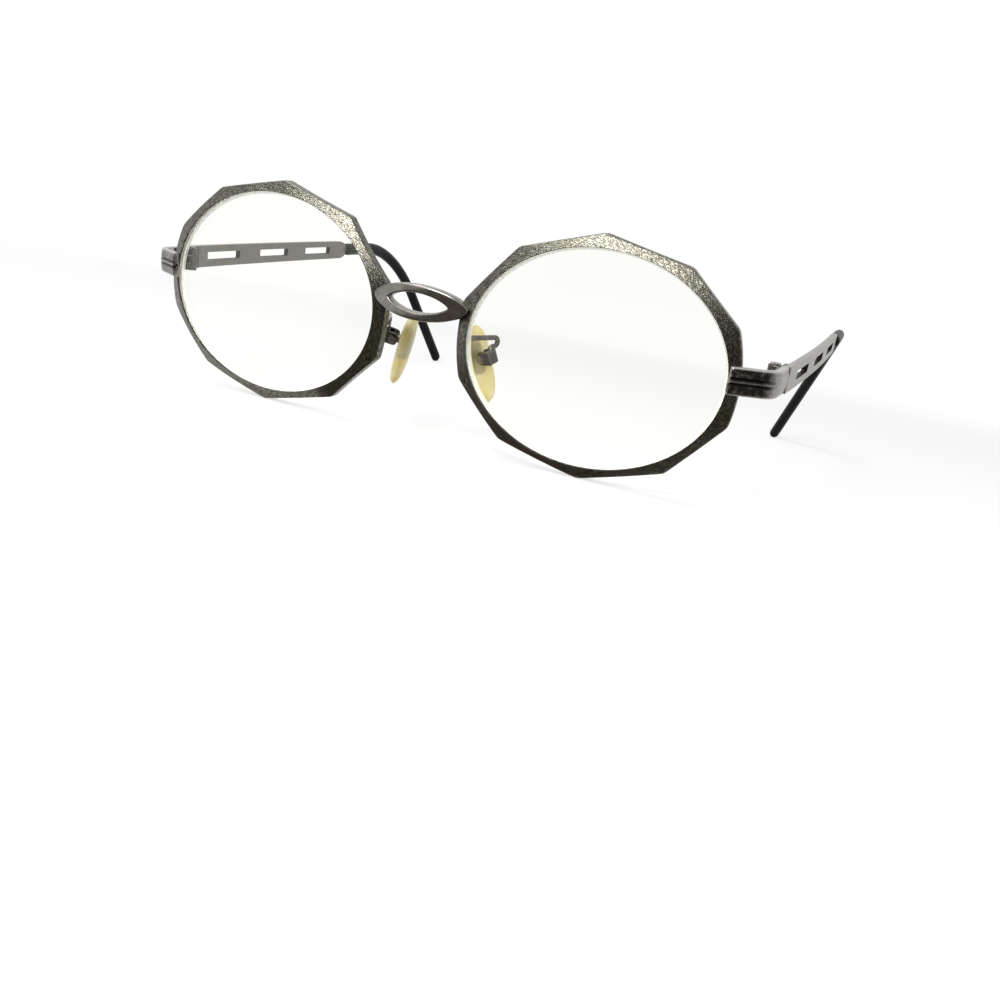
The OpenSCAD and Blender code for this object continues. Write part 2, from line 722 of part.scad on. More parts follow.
// The plate that is moulded into the pad, and the neck that leads out of it, each grown by a gap
module insert_body(gap) {
    translate([pad_mid[0] - insert_t / 2 - gap, 0, 0])
    rotate([90, 0, 90])
    linear_extrude(height = insert_t + 2 * gap)
    union() {
        square([insert_w + 2 * gap, insert_l - insert_w], center = true);
        for (end = [-1, 1])
        translate([0, end * (insert_l - insert_w) / 2]) circle(r = insert_w / 2 + gap);
    }
    block([pad_mid[0], -eye_w / 2 - gap, -insert_neck_h / 2 - gap],
          [0, eye_w / 2 + gap, insert_neck_h / 2 + gap]);
}

module pad_insert(side) {
    color(steel) worn(side) at_pad() difference() {
        union() {
            insert_body(0);
            rotate([90, 0, 0]) cylinder(r = eye_r, h = eye_w, center = true);
        }
        rotate([90, 0, 0]) cylinder(r = pad_screw_r + run_gap, h = 2 * eye_w, center = true);
    }
}

module nose_pad(side) {
    function squared(v) = sign(v) * pow(abs(v), pad_square);
    function slice(x, share) = [
        for (k = [0 : pad_sides - 1])
        let (a = -360 * k / pad_sides, along = squared(sin(a)), wide = 1 + pad_taper * along)
        pad_mid + [x, pad_w / 2 * wide * share * squared(cos(a)), pad_l / 2 * share * along]];
    color(amber) worn(side) at_pad() difference() {
        capped_skin([for (s = pad_slices) slice(s[0] * pad_t / 2 + s[1] * pad_crown, s[2])]);
        insert_body(insert_gap);
    }
}

bridge();
rim(left);  // left_rim
lens(left);  // left_lens
endpiece(left);  // left_endpiece
closing_block_upper(left);  // left_closing_block_upper
closing_block_lower(left);  // left_closing_block_lower
closing_screw(left);  // left_closing_screw
front_hinge(left);  // left_front_hinge
hinge_screw(left);  // left_hinge_screw
temple_hinge(left);  // left_temple_hinge
temple(left);  // left_temple
temple_tip(left);  // left_temple_tip
pad_arm(left);  // left_pad_arm
pad_box(left);  // left_pad_box
pad_screw(left);  // left_pad_screw
pad_insert(left);  // left_pad_insert
nose_pad(left);  // left_nose_pad
rim(right);  // right_rim
lens(right);  // right_lens
endpiece(right);  // right_endpiece
closing_block_upper(right);  // right_closing_block_upper
closing_block_lower(right);  // right_closing_block_lower
closing_screw(right);  // right_closing_screw
front_hinge(right);  // right_front_hinge
hinge_screw(right);  // right_hinge_screw
temple_hinge(right);  // right_temple_hinge
temple(right);  // right_temple
temple_tip(right);  // right_temple_tip
pad_arm(right);  // right_pad_arm
pad_box(right);  // right_pad_box
pad_screw(right);  // right_pad_screw
pad_insert(right);  // right_pad_insert
nose_pad(right);  // right_nose_pad
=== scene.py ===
"""Oval eyeglasses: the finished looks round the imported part.

Shapes are drawn in millimetres for the wearer's left side, in the front's own frame: X towards
the ear, Y back along the side arms and Z up, from the point midway between the lenses. The
function stand() leans them as the pair leans on a table and takes them into the row frame.
"""

import json
import math

import bmesh
import bpy
from mathutils import Matrix, Vector


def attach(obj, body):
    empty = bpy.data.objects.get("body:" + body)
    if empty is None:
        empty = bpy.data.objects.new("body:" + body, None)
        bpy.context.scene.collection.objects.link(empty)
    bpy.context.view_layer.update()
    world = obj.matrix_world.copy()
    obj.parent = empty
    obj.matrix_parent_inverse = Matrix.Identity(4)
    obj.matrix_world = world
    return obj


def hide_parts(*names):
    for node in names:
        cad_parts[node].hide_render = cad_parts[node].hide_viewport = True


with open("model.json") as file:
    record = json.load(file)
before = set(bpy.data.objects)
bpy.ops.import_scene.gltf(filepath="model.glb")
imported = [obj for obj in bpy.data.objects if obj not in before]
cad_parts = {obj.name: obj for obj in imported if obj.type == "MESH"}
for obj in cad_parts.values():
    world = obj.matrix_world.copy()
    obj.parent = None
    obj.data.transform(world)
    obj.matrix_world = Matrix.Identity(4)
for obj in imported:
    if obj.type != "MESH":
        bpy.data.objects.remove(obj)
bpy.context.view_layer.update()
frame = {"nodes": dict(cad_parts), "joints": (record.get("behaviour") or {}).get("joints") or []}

MM = 0.001
LEFT = 1
RIGHT = -1
SIDES = (("left", LEFT), ("right", RIGHT))

# Lens openings and rims; the corners' angles are in degrees round the ellipse
LENS_X = 33.75
OPEN_A, OPEN_B = 23.9, 19.4
OUTER_A, OUTER_B = 26.8, 21.95
CORNERS = [-158, -125, -88, -52, -18, 27, 58, 93, 128, 163]
EAR_SIDE, NOSE_SIDE = 4, 9
RIM_FLAT = 0.03
RIM_SLOPE = 0.5
RIM_WALL = 2.0
RIM_INNER = 2.4
RIM_ROUNDS, RIM_STEPS = (0.22, 0.3, 0.3, 0.12, 0, 0, 0), 4
GROOVE_Y, GROOVE_D = 1.2, 0.56
WRAP = math.radians(2.5)
SPLIT_GAP = 0.25
CORNER_SOFTNESS, NEAR_CORNER = 0.012, 12
LENS_GAP, LENS_BEVEL, LENS_LIP = 0.06, 0.5, 0.2
LENS_T, LENS_BULGE = 1.9, 1.1
LENS_SHARES = (0.02, 0.1, 0.2, 0.3, 0.4, 0.5, 0.6, 0.7, 0.8, 0.88, 0.94, 0.978, 1.0)
LENS_POINTS, LENS_EDGE_BANDS = 180, 5

# Bridge
BRIDGE_Z, BRIDGE_H, BRIDGE_T, BRIDGE_POINT = 4.5, 6.6, 2.1, 0.58
BRIDGE_STAND, BRIDGE_BOW, BRIDGE_SHORT = 0.4, 1.6, 0.8
BRIDGE_HOLE_L, BRIDGE_HOLE_H, BRIDGE_HOLE_POINT = 12.2, 3.5, 0.74
BRIDGE_ROUNDS, BRIDGE_POINTS = (0.25, 0.6, 0.45, 0.25), 240

# End pieces
END_Z, END_H, END_T = 1.7, 4.9, 1.4
END_LAP, END_R, END_REAR, END_SEAT = 5.9, 5.2, 6.0, 0.2
GROOVE_W, GROOVE_DEEP, RIDGE_W = 0.6, 0.2, 0.35
GROOVE_ROUND, GROOVE_END, GROOVE_FADE = 0.78, 9.6, 3
# Where the end pieces' painted shade over the lap fades and ends
LAP_SHADE_FADES, LAP_SHADE_GONE = 6.4, 8.4
END_CHAMFER, END_DOME, END_ROUNDS = 0.16, 0.3, (0.15, 0.4, 0.4, 0.15)
FOLD_GAP = 0.12

# Side arms and tips
SPLAY = math.radians(5.5)
TEMPLE_L, TEMPLE_H, TEMPLE_T, BOW_R, LEAF_L = 75.5, 4.8, 1.2, 1120.0, 4.4
SLOT_FIRST, SLOT_L, SLOT_H, SLOT_PITCH, SLOT_COUNT = 8.7, 13.2, 1.8, 22.2, 3
SLOT_CORNER = 0.28
NECK_L, NECK_H = 4.0, 1.7
ARM_EDGE = 0.16
TIP_L, TIP_T, TIP_H, TIP_END_H = 72.0, 2.9, 3.4, 3.8
EAR_START, EAR_R, EAR_BEND, EAR_ROLL = 15.0, 27.0, math.radians(66), math.radians(19)
TIP_FRONT, TIP_ROUND, TIP_SHARE = 0.8, 1.6, 0.985
TIP_SHOULDER = ((0, 0.6), (0.06, 0.72), (0.2, 0.85), (0.5, 0.95), (1.0, 1.0))
TIP_END_TURNS = (12, 24, 36, 48, 60, 70, 79, 86)
CORE_R, CORE_SHORT, CORE_INSIDE = 0.6, 7.0, 4.0

# Nose pads and their arms
PAD_PLACE = Vector((10.3, 9.6, -5.0))
PAD_TILT, PAD_FLARE, PAD_SPLAY = math.radians(18), math.radians(13), math.radians(15)
PAD_L, PAD_W, PAD_T, PAD_DROP, PAD_GAP = 15.8, 8.0, 2.4, 1.8, 1.4
PAD_TAPER, PAD_CROWN, PAD_SQUARE = 0.12, 0.3, 0.65
PAD_RINGS, PAD_POINTS = 32, 72
EYE_R, EYE_W, EYE_GAP, EYE_ROOM = 0.85, 1.3, 0.07, 0.2
BOX_H, BOX_WALL, BOX_FRONT, BOX_HOLE = 2.7, 0.5, 0.95, 0.52
CHEEK_ROUNDS, CHEEK_EDGES = (0.95, 0.35, 0.35, 0.95), (0.06, 0.1, 0.2, 0.06)
BACK_ROUNDS, BACK_LAP = (0.06, 0.35, 0.35, 0.06), 0.1
ARM_R, ARM_TURN, ARM_MARGIN, ARM_AT, ARM_OVER = 0.5, 0.85, 0.05, 183.5, 0.9
HINGE_BARREL_R, SWING_GAP = 1.25, 0.12

# Floor and light, with distances in metres, and the view in the front's frame
FLOOR_REACH, FLOOR_GREY, FLOOR_GLOW = 6.0, 0.3, 0.6
WHITE_STARTS, WHITE_BY = 0.16, 0.5
SKY_STRENGTH = 0.5
LAMPS_AIM = Vector((0, -0.03, 0.02))
VIEW_PLACE = Vector((74.94, -153.48, 27.66))
VIEW_RIGHT = Vector((0.9162, 0.375, 0.1413)).normalized()
VIEW_AHEAD = Vector((-0.3132, 0.89, -0.3315)).normalized()
VIEW_LENS, VIEW_SENSOR = 32.4, 36.0


# From the front's frame to the row frame
def joint_line():
    """Where the outer faces of an end piece and a side arm meet, and the start of the end piece."""
    slope = WRAP + math.atan(RIM_SLOPE)
    along = Vector((math.cos(slope), math.sin(slope)))
    out = Vector((math.sin(slope), -math.cos(slope)))
    start = turned(Vector((OPEN_A * math.cos(math.asin(END_Z / OPEN_B)), 0, END_Z))).xy - out * END_SEAT
    centre = start + along * END_LAP + out * (END_T - END_R)
    joint = centre + Vector((math.cos(SPLAY), -math.sin(SPLAY))) * END_R
    joint += Vector((math.sin(SPLAY), math.cos(SPLAY))) * END_REAR
    return slope, start, out, centre, joint


def turned(p):
    """A point of a rim's own frame, turned by the wrap and moved to the lens's place."""
    return Vector((
        LENS_X + p.x * math.cos(WRAP) - p.y * math.sin(WRAP),
        p.x * math.sin(WRAP) + p.y * math.cos(WRAP),
        p.z))


END_SLOPE, LAP_START, LAP_OUT, BEND_CENTRE, JOINT = joint_line()


def from_joint(out, along, up):
    """A point of a side arm's frame: out of its outer face, back along it, and up."""
    return Vector((
        JOINT.x + out * math.cos(SPLAY) + along * math.sin(SPLAY),
        JOINT.y - out * math.sin(SPLAY) + along * math.cos(SPLAY),
        END_Z + up))


fold = next(j for j in frame["joints"] if j["name"] == "left_temple_fold")
lean = Matrix.Rotation(math.atan2(-fold["axis"][1], fold["axis"][2]), 3, "X")
pivot = from_joint(-max(END_T, TEMPLE_T) - HINGE_BARREL_R - SWING_GAP, 0, 0)
stand_place = Vector(fold["pos_m"]) / MM - lean @ pivot
stand_place.x = 0


def stand(p, side=LEFT):
    """A point of the front's frame in the row frame, in metres, for one side of the face."""
    return (lean @ Vector((p.x * side, p.y, p.z)) + stand_place) * MM


# Shapes from rings of points
HOLD = 0.12


def eased(corners, reaches, steps=3):
    """A closed outline whose corners are rounded; a short straight is held beside each round."""
    made = []
    count = len(corners)
    for i, corner in enumerate(corners):
        before, after, reach = corners[i - 1], corners[(i + 1) % count], reaches[i]
        if reach <= 0:
            made.append(corner)
            continue
        back, on = before - corner, after - corner
        start = corner + back.normalized() * min(reach, 0.4 * back.length)
        end = corner + on.normalized() * min(reach, 0.4 * on.length)
        made.append(start + back.normalized() * min(HOLD, 0.1 * back.length))
        for k in range(steps + 1):
            t = k / steps
            made.append(start * (1 - t) ** 2 + corner * (2 * t * (1 - t)) + end * t ** 2)
        made.append(end + on.normalized() * min(HOLD, 0.1 * on.length))
    return made


def shape(name, side, rings, closed, sharp):
    """A closed skin over rings of points, with a UV map in millimetres along it and round it.

    The rings close on themselves, or the first and the last are capped.
    """
    mesh = bpy.data.meshes.new(name)
    build = bmesh.new()
    grain = build.loops.layers.uv.new("grain")
    rows = [[build.verts.new(stand(p, side)) for p in ring] for ring in rings]
    count = len(rings[0])
    along = [0.0]
    for before, ring in zip(rings, rings[1:] + rings[:1]):
        along.append(along[-1] + (ring[0] - before[0]).length)
    around = [0.0]
    for j in range(count):
        around.append(around[-1] + (rings[0][(j + 1) % count] - rings[0][j]).length)
    for i in range(len(rings) if closed else len(rings) - 1):
        for j in range(count):
            near, far = rows[i], rows[(i + 1) % len(rows)]
            across = (j + 1) % count
            face = build.faces.new((near[j], near[across], far[across], far[j]))
            spots = ((i, j), (i, j + 1), (i + 1, j + 1), (i + 1, j))
            for loop, (a, b) in zip(face.loops, spots):
                loop[grain].uv = (along[a], around[b])
    if not closed:
        for row in (rows[0], rows[-1]):
            cap = build.faces.new(row)
            for loop, b in zip(cap.loops, range(count)):
                loop[grain].uv = (0.3 * b, around[b])
    return finished(name, mesh, build, sharp)


def taken(build, piece):
    """Adds a piece's mesh to a larger one and removes the piece."""
    build.from_mesh(piece.data)
    bpy.data.objects.remove(piece)


def finished(name, mesh, build, sharp):
    """Turns the faces outwards, smooths all but the sharp edges and links the piece."""
    bmesh.ops.recalc_face_normals(build, faces=build.faces)
    for face in build.faces:
        face.smooth = True
    build.to_mesh(mesh)
    build.free()
    mesh.set_sharp_from_angle(angle=math.radians(sharp))
    piece = bpy.data.objects.new(name, mesh)
    bpy.context.scene.collection.objects.link(piece)
    return piece


def oval(centre, across, up, half_w, half_h, count):
    """A ring of points round a place on a path."""
    return [centre + across * (half_w * math.cos(math.tau * k / count))
            - up * (half_h * math.sin(math.tau * k / count)) for k in range(count)]


def power(value, exponent):
    """A power that keeps the sign."""
    return math.copysign(abs(value) ** exponent, value)


# Node trees
class Value:
    """A number in a node tree: writing it in a sum adds the Math node for it."""

    def __init__(self, tree, socket):
        self.tree = tree
        self.socket = socket

    def joined(self, operation, *values):
        """The result of a Math node on some values."""
        return self.tree.add("ShaderNodeMath", {"operation": operation}, dict(enumerate(values)))

    def __add__(self, other):
        return self.joined("ADD", self, other)

    def __sub__(self, other):
        return self.joined("SUBTRACT", self, other)

    def __rsub__(self, other):
        return self.joined("SUBTRACT", other, self)

    def __mul__(self, other):
        return self.joined("MULTIPLY", self, other)

    def __truediv__(self, other):
        return self.joined("DIVIDE", self, other)

    __radd__ = __add__
    __rmul__ = __mul__

    def of(self, operation, *others):
        """A Math node that Python has no sign for, with this value first."""
        return self.joined(operation, self, *others)


class Tree:
    """Adds nodes to one node tree and links what is handed to their sockets."""

    def __init__(self, tree):
        self.tree = tree

    def add(self, kind, settings=None, sockets=None, gives=0):
        """A node of a kind, its settings first and then its sockets; hands back one output."""
        made = self.tree.nodes.new(kind)
        for name, setting in (settings or {}).items():
            setattr(made, name, setting)
        for name, value in (sockets or {}).items():
            if isinstance(value, Value):
                self.tree.links.new(value.socket, made.inputs[name])
            else:
                made.inputs[name].default_value = value
        return Value(self, made.outputs[gives]) if len(made.outputs) else made

    def parts(self, vector):
        """The three numbers of a vector."""
        split = self.tree.nodes.new("ShaderNodeSeparateXYZ")
        self.tree.links.new(vector.socket, split.inputs[0])
        return [Value(self, socket) for socket in split.outputs]

    def join(self, *pieces):
        """Several pieces of geometry as one."""
        both = self.add("GeometryNodeJoinGeometry")
        for piece in pieces:
            self.tree.links.new(piece.socket, both.socket.node.inputs[0])
        return both

    def seen_rays(self):
        """One for what the camera, gloss and glass see, and nought for light that falls."""
        rays = self.tree.nodes.new("ShaderNodeLightPath")
        seen = Value(self, rays.outputs["Is Camera Ray"])
        for name in ("Is Glossy Ray", "Is Transmission Ray"):
            seen = seen.of("MAXIMUM", Value(self, rays.outputs[name]))
        return seen


class Finish(Tree):
    """A material: its patterns are made here, and its surface is one Principled shader."""

    def __init__(self, name):
        self.material = bpy.data.materials.new(name)
        self.material.use_nodes = True
        self.material.node_tree.nodes.clear()
        super().__init__(self.material.node_tree)

    def own_map(self):
        """The piece's own UV map: along it and round its section, in millimetres."""
        return self.add("ShaderNodeUVMap", {"uv_map": "grain"})

    def grain(self, stretch, turn):
        """The piece's own UV map, turned and stretched."""
        return self.mapped(self.own_map(), stretch, turn)

    def place(self, stretch=(1, 1, 1)):
        """The place on the object, in millimetres times the stretch."""
        spot = self.add("ShaderNodeTexCoord", gives="Object")
        return self.mapped(spot, tuple(s / MM for s in stretch), 0.0)

    def mapped(self, vector, stretch, turn):
        """A vector turned about its third axis and then stretched."""
        spun = self.add("ShaderNodeMapping", {"vector_type": "POINT"},
                        {"Vector": vector, "Rotation": (0.0, 0.0, turn)})
        return self.add("ShaderNodeMapping", {"vector_type": "POINT"},
                        {"Vector": spun, "Scale": stretch})

    def noise(self, vector, scale, detail=2.0, rough=0.5):
        """Cloudy noise from nought to one, with so many coarse grains to a unit as the scale."""
        return self.add("ShaderNodeTexNoise", {},
                        {"Vector": vector, "Scale": scale, "Detail": detail, "Roughness": rough})

    def between(self, value, low, high):
        """Nought where a value is under low, one where it is over high, and smooth between."""
        return self.add("ShaderNodeMapRange", {"interpolation_type": "SMOOTHSTEP", "clamp": True},
                        {"Value": value, "From Min": low, "From Max": high})

    def blend(self, share, first, second):
        """The first colour where the share is nought, the second where it is one."""
        return self.add("ShaderNodeMix", {"data_type": "RGBA"},
                        {0: share, 6: shade(first), 7: shade(second)}, gives=2)

    def bump(self, height, depth):
        """Relief whose height of one stands for a depth in millimetres."""
        return self.add("ShaderNodeBump", {},
                        {"Height": height, "Distance": depth * MM, "Strength": 1.0})

    def surface(self, **sockets):
        """The Principled shader, with its sockets given by name."""
        named = {name.replace("_", " "): value for name, value in sockets.items()}
        if "Base Color" in named:
            named["Base Color"] = shade(named["Base Color"])
        return self.add("ShaderNodeBsdfPrincipled", {}, named)

    def done(self, shader):
        """Closes the material with a shader."""
        self.add("ShaderNodeOutputMaterial", {}, {"Surface": shader})
        return self.material


def shade(colour):
    """A colour of three numbers as a socket takes it; a linked one stays as it is."""
    return colour if isinstance(colour, Value) else (*colour, 1.0)


# Finishes
def pewter_face(wall_from):
    """Antique pewter of the rims: fine crossed strokes that sparkle, with painted shade darkening the
    inner wall.

    The inner wall starts at a distance round the rim's section.
    """
    f = Finish("antique_pewter")
    strokes = f.noise(f.grain((0.9, 6.0, 1), math.radians(27)), 1.0, 3.0, 0.65)
    crossing = f.noise(f.grain((0.9, 7.0, 1), math.radians(-34)), 1.0, 3.0, 0.65)
    speckle = f.noise(f.place(), 4.6, 3.0, 0.7)
    cloud = f.noise(f.place(), 0.2, 2.0)
    relief = strokes * 0.55 + crossing * 0.35 + speckle * 0.3
    hollow = f.between(relief, 0.53, 0.74)
    rubbed = f.blend(hollow, (0.036, 0.034, 0.026), (0.32, 0.31, 0.262))
    colour = f.blend(f.between(cloud, 0.35, 0.7) * 0.35, rubbed, (0.07, 0.066, 0.052))
    around = f.parts(f.own_map())[1]
    # Painted shade: the inner wall, where it meets the lens, is darkened as if in shadow
    inner_wall_shade = f.between(around, wall_from - 0.1, wall_from + 0.12)
    final_colour = f.blend(inner_wall_shade * 0.8, colour, (0.03, 0.026, 0.022))
    return f.done(f.surface(
        Base_Color=final_colour, Metallic=1.0, Roughness=0.3 - hollow * 0.1,
        Normal=f.bump(relief, 0.09)))


def satin_silver(name, base, dark):
    """Satin silver, brushed lengthwise, a little clouded."""
    f = Finish(name)
    brushing = f.noise(f.grain((0.09, 9, 1), 0.0), 1.0, 3.0, 0.6)
    fine = f.noise(f.place(), 2.6, 3.0, 0.6)
    cloud = f.noise(f.place(), 0.16, 2.0)
    colour = f.blend(f.between(brushing * 0.4 + fine * 0.6, 0.36, 0.66), dark, base)
    final_colour = f.blend(f.between(cloud, 0.5, 0.75) * 0.35, colour, dark)
    return f.done(f.surface(
        Base_Color=final_colour, Metallic=1.0, Roughness=0.32 + fine * 0.16,
        Normal=f.bump(brushing * 0.5 + fine * 0.5, 0.012)))


def grooved_silver(name, middle, lap_shade):
    """Silver of an end piece: a blotchy painted shade over the lap, standing for a dark reflection,
    deepest in the grooves; worn bright on its edges and ridge, with a painted highlight there.

    The ridge's middle lies at a distance round the section, and the strength of the lap's painted shade
    is given.
    """
    f = Finish(name)
    fine = f.noise(f.place(), 2.4, 3.0, 0.6)
    blotch = f.noise(f.place(), 0.9, 3.0, 0.6)
    along, around, _ = f.parts(f.own_map())
    off = (around - middle).of("ABSOLUTE")
    half = GROOVE_ROUND / 2
    groove = 1 - f.between((off - RIDGE_W / 2 - half).of("ABSOLUTE"), half * 0.6, half * 1.1)
    # Painted shade standing for a dark reflection: the lap is darkened in blotches, and nearly black in
    # the grooves
    lap = 1 - f.between(along, LAP_SHADE_FADES, LAP_SHADE_GONE)
    field = f.between(blotch, 0.26, 0.56) * lap * lap_shade
    metal = f.blend(f.between(fine, 0.35, 0.65), (0.2, 0.19, 0.172), (0.36, 0.352, 0.33))
    lap_shaded = f.blend(field, metal, (0.04, 0.032, 0.027))
    grooved = f.blend(groove * lap * 0.92, lap_shaded, (0.012, 0.01, 0.009))
    # Wear and painted highlight: the ridge over the lap and the top and bottom edges are made lighter
    ridge = (1 - f.between(off, RIDGE_W * 0.2, RIDGE_W * 0.5)) * lap * 0.7
    wear_and_highlight = ridge.of("MAXIMUM", f.between(off, END_H / 2 - 0.5, END_H / 2 - 0.15))
    final_colour = f.blend(wear_and_highlight * 0.75, grooved, (0.5, 0.49, 0.46))
    return f.done(f.surface(
        Base_Color=final_colour, Metallic=1.0, Roughness=0.3 + fine * 0.14,
        Normal=f.bump(fine, 0.012)))


def dark_patina():
    """Dull dark painted shade on the side arms' slot walls."""
    f = Finish("dark_patina")
    fine = f.noise(f.place(), 2.6, 3.0, 0.6)
    colour = f.blend(f.between(fine, 0.35, 0.65), (0.025, 0.023, 0.02), (0.05, 0.047, 0.042))
    return f.done(f.surface(
        Base_Color=colour, Metallic=1.0, Roughness=0.5, Normal=f.bump(fine, 0.01)))


def smooth_metal(name, base, dark, rough):
    """Smooth metal with faint clouds and hair marks."""
    f = Finish(name)
    cloud = f.noise(f.place(), 0.5, 3.0, 0.6)
    marks = f.noise(f.place((3, 1.2, 5)), 1.3, 3.0, 0.6)
    colour = f.blend(f.between(cloud * 0.6 + marks * 0.4, 0.38, 0.64), dark, base)
    return f.done(f.surface(
        Base_Color=colour, Metallic=1.0, Roughness=rough + marks * 0.1,
        Normal=f.bump(marks, 0.003)))


def black_plastic():
    """Satin black plastic with a faint moulded grain and soft smears."""
    f = Finish("satin_black_plastic")
    grain = f.noise(f.place(), 5.0, 2.0)
    smear = f.noise(f.place(), 0.25, 2.0)
    colour = f.blend(f.between(smear, 0.35, 0.7), (0.004, 0.004, 0.0045), (0.008, 0.008, 0.0085))
    return f.done(f.surface(
        Base_Color=colour, Metallic=0.0, Specular_IOR_Level=0.1, Roughness=0.34 + smear * 0.12,
        Normal=f.bump(grain, 0.008)))


def clear_lens():
    """Clear coated lens with a faint warm tint: little gloss, and lamps shine through it."""
    f = Finish("clear_lens")
    smear = f.noise(f.place(), 0.09, 3.0)
    glass = f.surface(
        Base_Color=(0.995, 0.995, 0.96), Roughness=f.between(smear, 0.55, 0.85) * 0.02,
        IOR=1.35, Specular_IOR_Level=0.2, Transmission_Weight=1.0)
    lamps = f.add("ShaderNodeLightPath", gives="Is Shadow Ray")
    clear = f.add("ShaderNodeBsdfTransparent", {}, {"Color": shade((0.985, 0.985, 0.97))})
    return f.done(f.add("ShaderNodeMixShader", {}, {0: lamps, 1: glass, 2: clear}))


def ground_edge():
    """The ground edge of a lens: frosted, milky and pale."""
    f = Finish("ground_lens_edge")
    dust = f.noise(f.place(), 3.0, 3.0, 0.6)
    colour = f.blend(f.between(dust, 0.35, 0.65), (0.76, 0.76, 0.67), (0.9, 0.9, 0.81))
    return f.done(f.surface(
        Base_Color=colour, Roughness=0.4, IOR=1.45, Transmission_Weight=0.6,
        Normal=f.bump(dust, 0.01)))


def amber_pad():
    """Soft clear plastic gone amber, cloudy inside."""
    f = Finish("amber_pad_plastic")
    cloud = f.noise(f.place(), 0.35, 3.0)
    colour = f.blend(f.between(cloud, 0.3, 0.7), (0.91, 0.76, 0.3), (0.97, 0.9, 0.55))
    return f.done(f.surface(
        Base_Color=colour, Roughness=0.24 + cloud * 0.14, IOR=1.4, Transmission_Weight=0.6,
        Normal=f.bump(cloud, 0.006)))


def dress(piece, body, slot, *nodes):
    """Puts a piece on its body in place of the nodes that it stands for."""
    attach(piece, body)
    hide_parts(*nodes)


# Rims
SPLIT_AT = math.degrees(math.asin(END_Z / OPEN_B))


def side_end(i):
    """The angle at which one of the rim's straight sides ends."""
    return CORNERS[i + 1] if i + 1 < len(CORNERS) else CORNERS[0] + 360


def reach(angle):
    """How far a rim's outline lies out along its ellipse, with softened corners."""
    found = []
    for i, corner in enumerate(CORNERS):
        half = (side_end(i) - corner) / 2
        off = (angle - corner - half + 180) % 360 - 180
        if abs(off) > half + NEAR_CORNER:
            continue
        if i in (EAR_SIDE, NOSE_SIDE):
            found.append(1 - RIM_FLAT * (1 - (off / half) ** 2))
        else:
            found.append(math.cos(math.radians(half)) / math.cos(math.radians(off)))
    found.sort()
    lowest, second = found[0], found[1] if len(found) > 1 else 9.0
    overlap = max(CORNER_SOFTNESS - (second - lowest), 0) / CORNER_SOFTNESS
    return lowest - overlap ** 2 * CORNER_SOFTNESS / 4


def rim_section(angle):
    """Section of a rim at an angle round its opening, as points of the rim's own frame."""
    a = math.radians(angle)
    inner = Vector((OPEN_A * math.cos(a), OPEN_B * math.sin(a)))
    outer = Vector((OUTER_A * math.cos(a), OUTER_B * math.sin(a))) * reach(angle)
    wide = (outer - inner).length
    out = (outer - inner).normalized()
    corners = [(0, RIM_INNER), (wide, RIM_SLOPE * wide + RIM_WALL), (wide, RIM_SLOPE * wide), (0, 0),
               (0, GROOVE_Y - GROOVE_D), (GROOVE_D, GROOVE_Y), (0, GROOVE_Y + GROOVE_D)]
    profile = eased([Vector(c) for c in corners], RIM_ROUNDS, RIM_STEPS)
    return [Vector((inner.x + out.x * p.x, p.y, inner.y + out.y * p.x)) for p in profile]


def rim(name, side):
    """A rim, open at the split behind its end piece."""
    edge = math.degrees(math.asin((END_Z + SPLIT_GAP / 2) / OPEN_B)) - SPLIT_AT
    angles = [SPLIT_AT + edge] + [SPLIT_AT + 1 + k for k in range(359)] + [SPLIT_AT + 360 - edge]
    rings = [rim_section(a) for a in angles]
    for ring, height in ((rings[0], END_Z + SPLIT_GAP / 2), (rings[-1], END_Z - SPLIT_GAP / 2)):
        for p in ring:
            p.z = height
    piece = shape(name, side, [[turned(p) for p in ring] for ring in rings], False, 35)
    piece.data.materials.append(pewter)
    return piece


# Lenses
def lens(name, side):
    """A lens: clear faces, and a pointed ground edge that sits in the rim's groove."""
    half_a, half_b = OPEN_A - LENS_GAP, OPEN_B - LENS_GAP
    front = GROOVE_Y - LENS_BEVEL - LENS_LIP
    turns = [math.tau * k / LENS_POINTS for k in range(LENS_POINTS)]

    def face_ring(y, share):
        return [Vector((half_a * share * math.cos(t), y - LENS_BULGE * (1 - share ** 2),
                        half_b * share * math.sin(t))) for t in turns]

    def edge_ring(y, out):
        return [Vector(((half_a + out) * math.cos(t), y, (half_b + out) * math.sin(t)))
                for t in turns]

    rings = [face_ring(front, share) for share in LENS_SHARES]
    rings += [edge_ring(GROOVE_Y - LENS_BEVEL, 0), edge_ring(GROOVE_Y, LENS_BEVEL),
              edge_ring(GROOVE_Y + LENS_BEVEL, 0)]
    rings += [face_ring(front + LENS_T, share) for share in reversed(LENS_SHARES)]
    piece = shape(name, side, [[turned(p) for p in ring] for ring in rings], False, 20)
    piece.data.materials.append(lens_clear)
    piece.data.materials.append(lens_edge)
    # The ground edge runs from the front face's rim over the bevel to the back face's last band
    first = (len(LENS_SHARES) - 1) * LENS_POINTS
    for face in piece.data.polygons[first:first + LENS_EDGE_BANDS * LENS_POINTS]:
        face.material_index = 1
    return piece


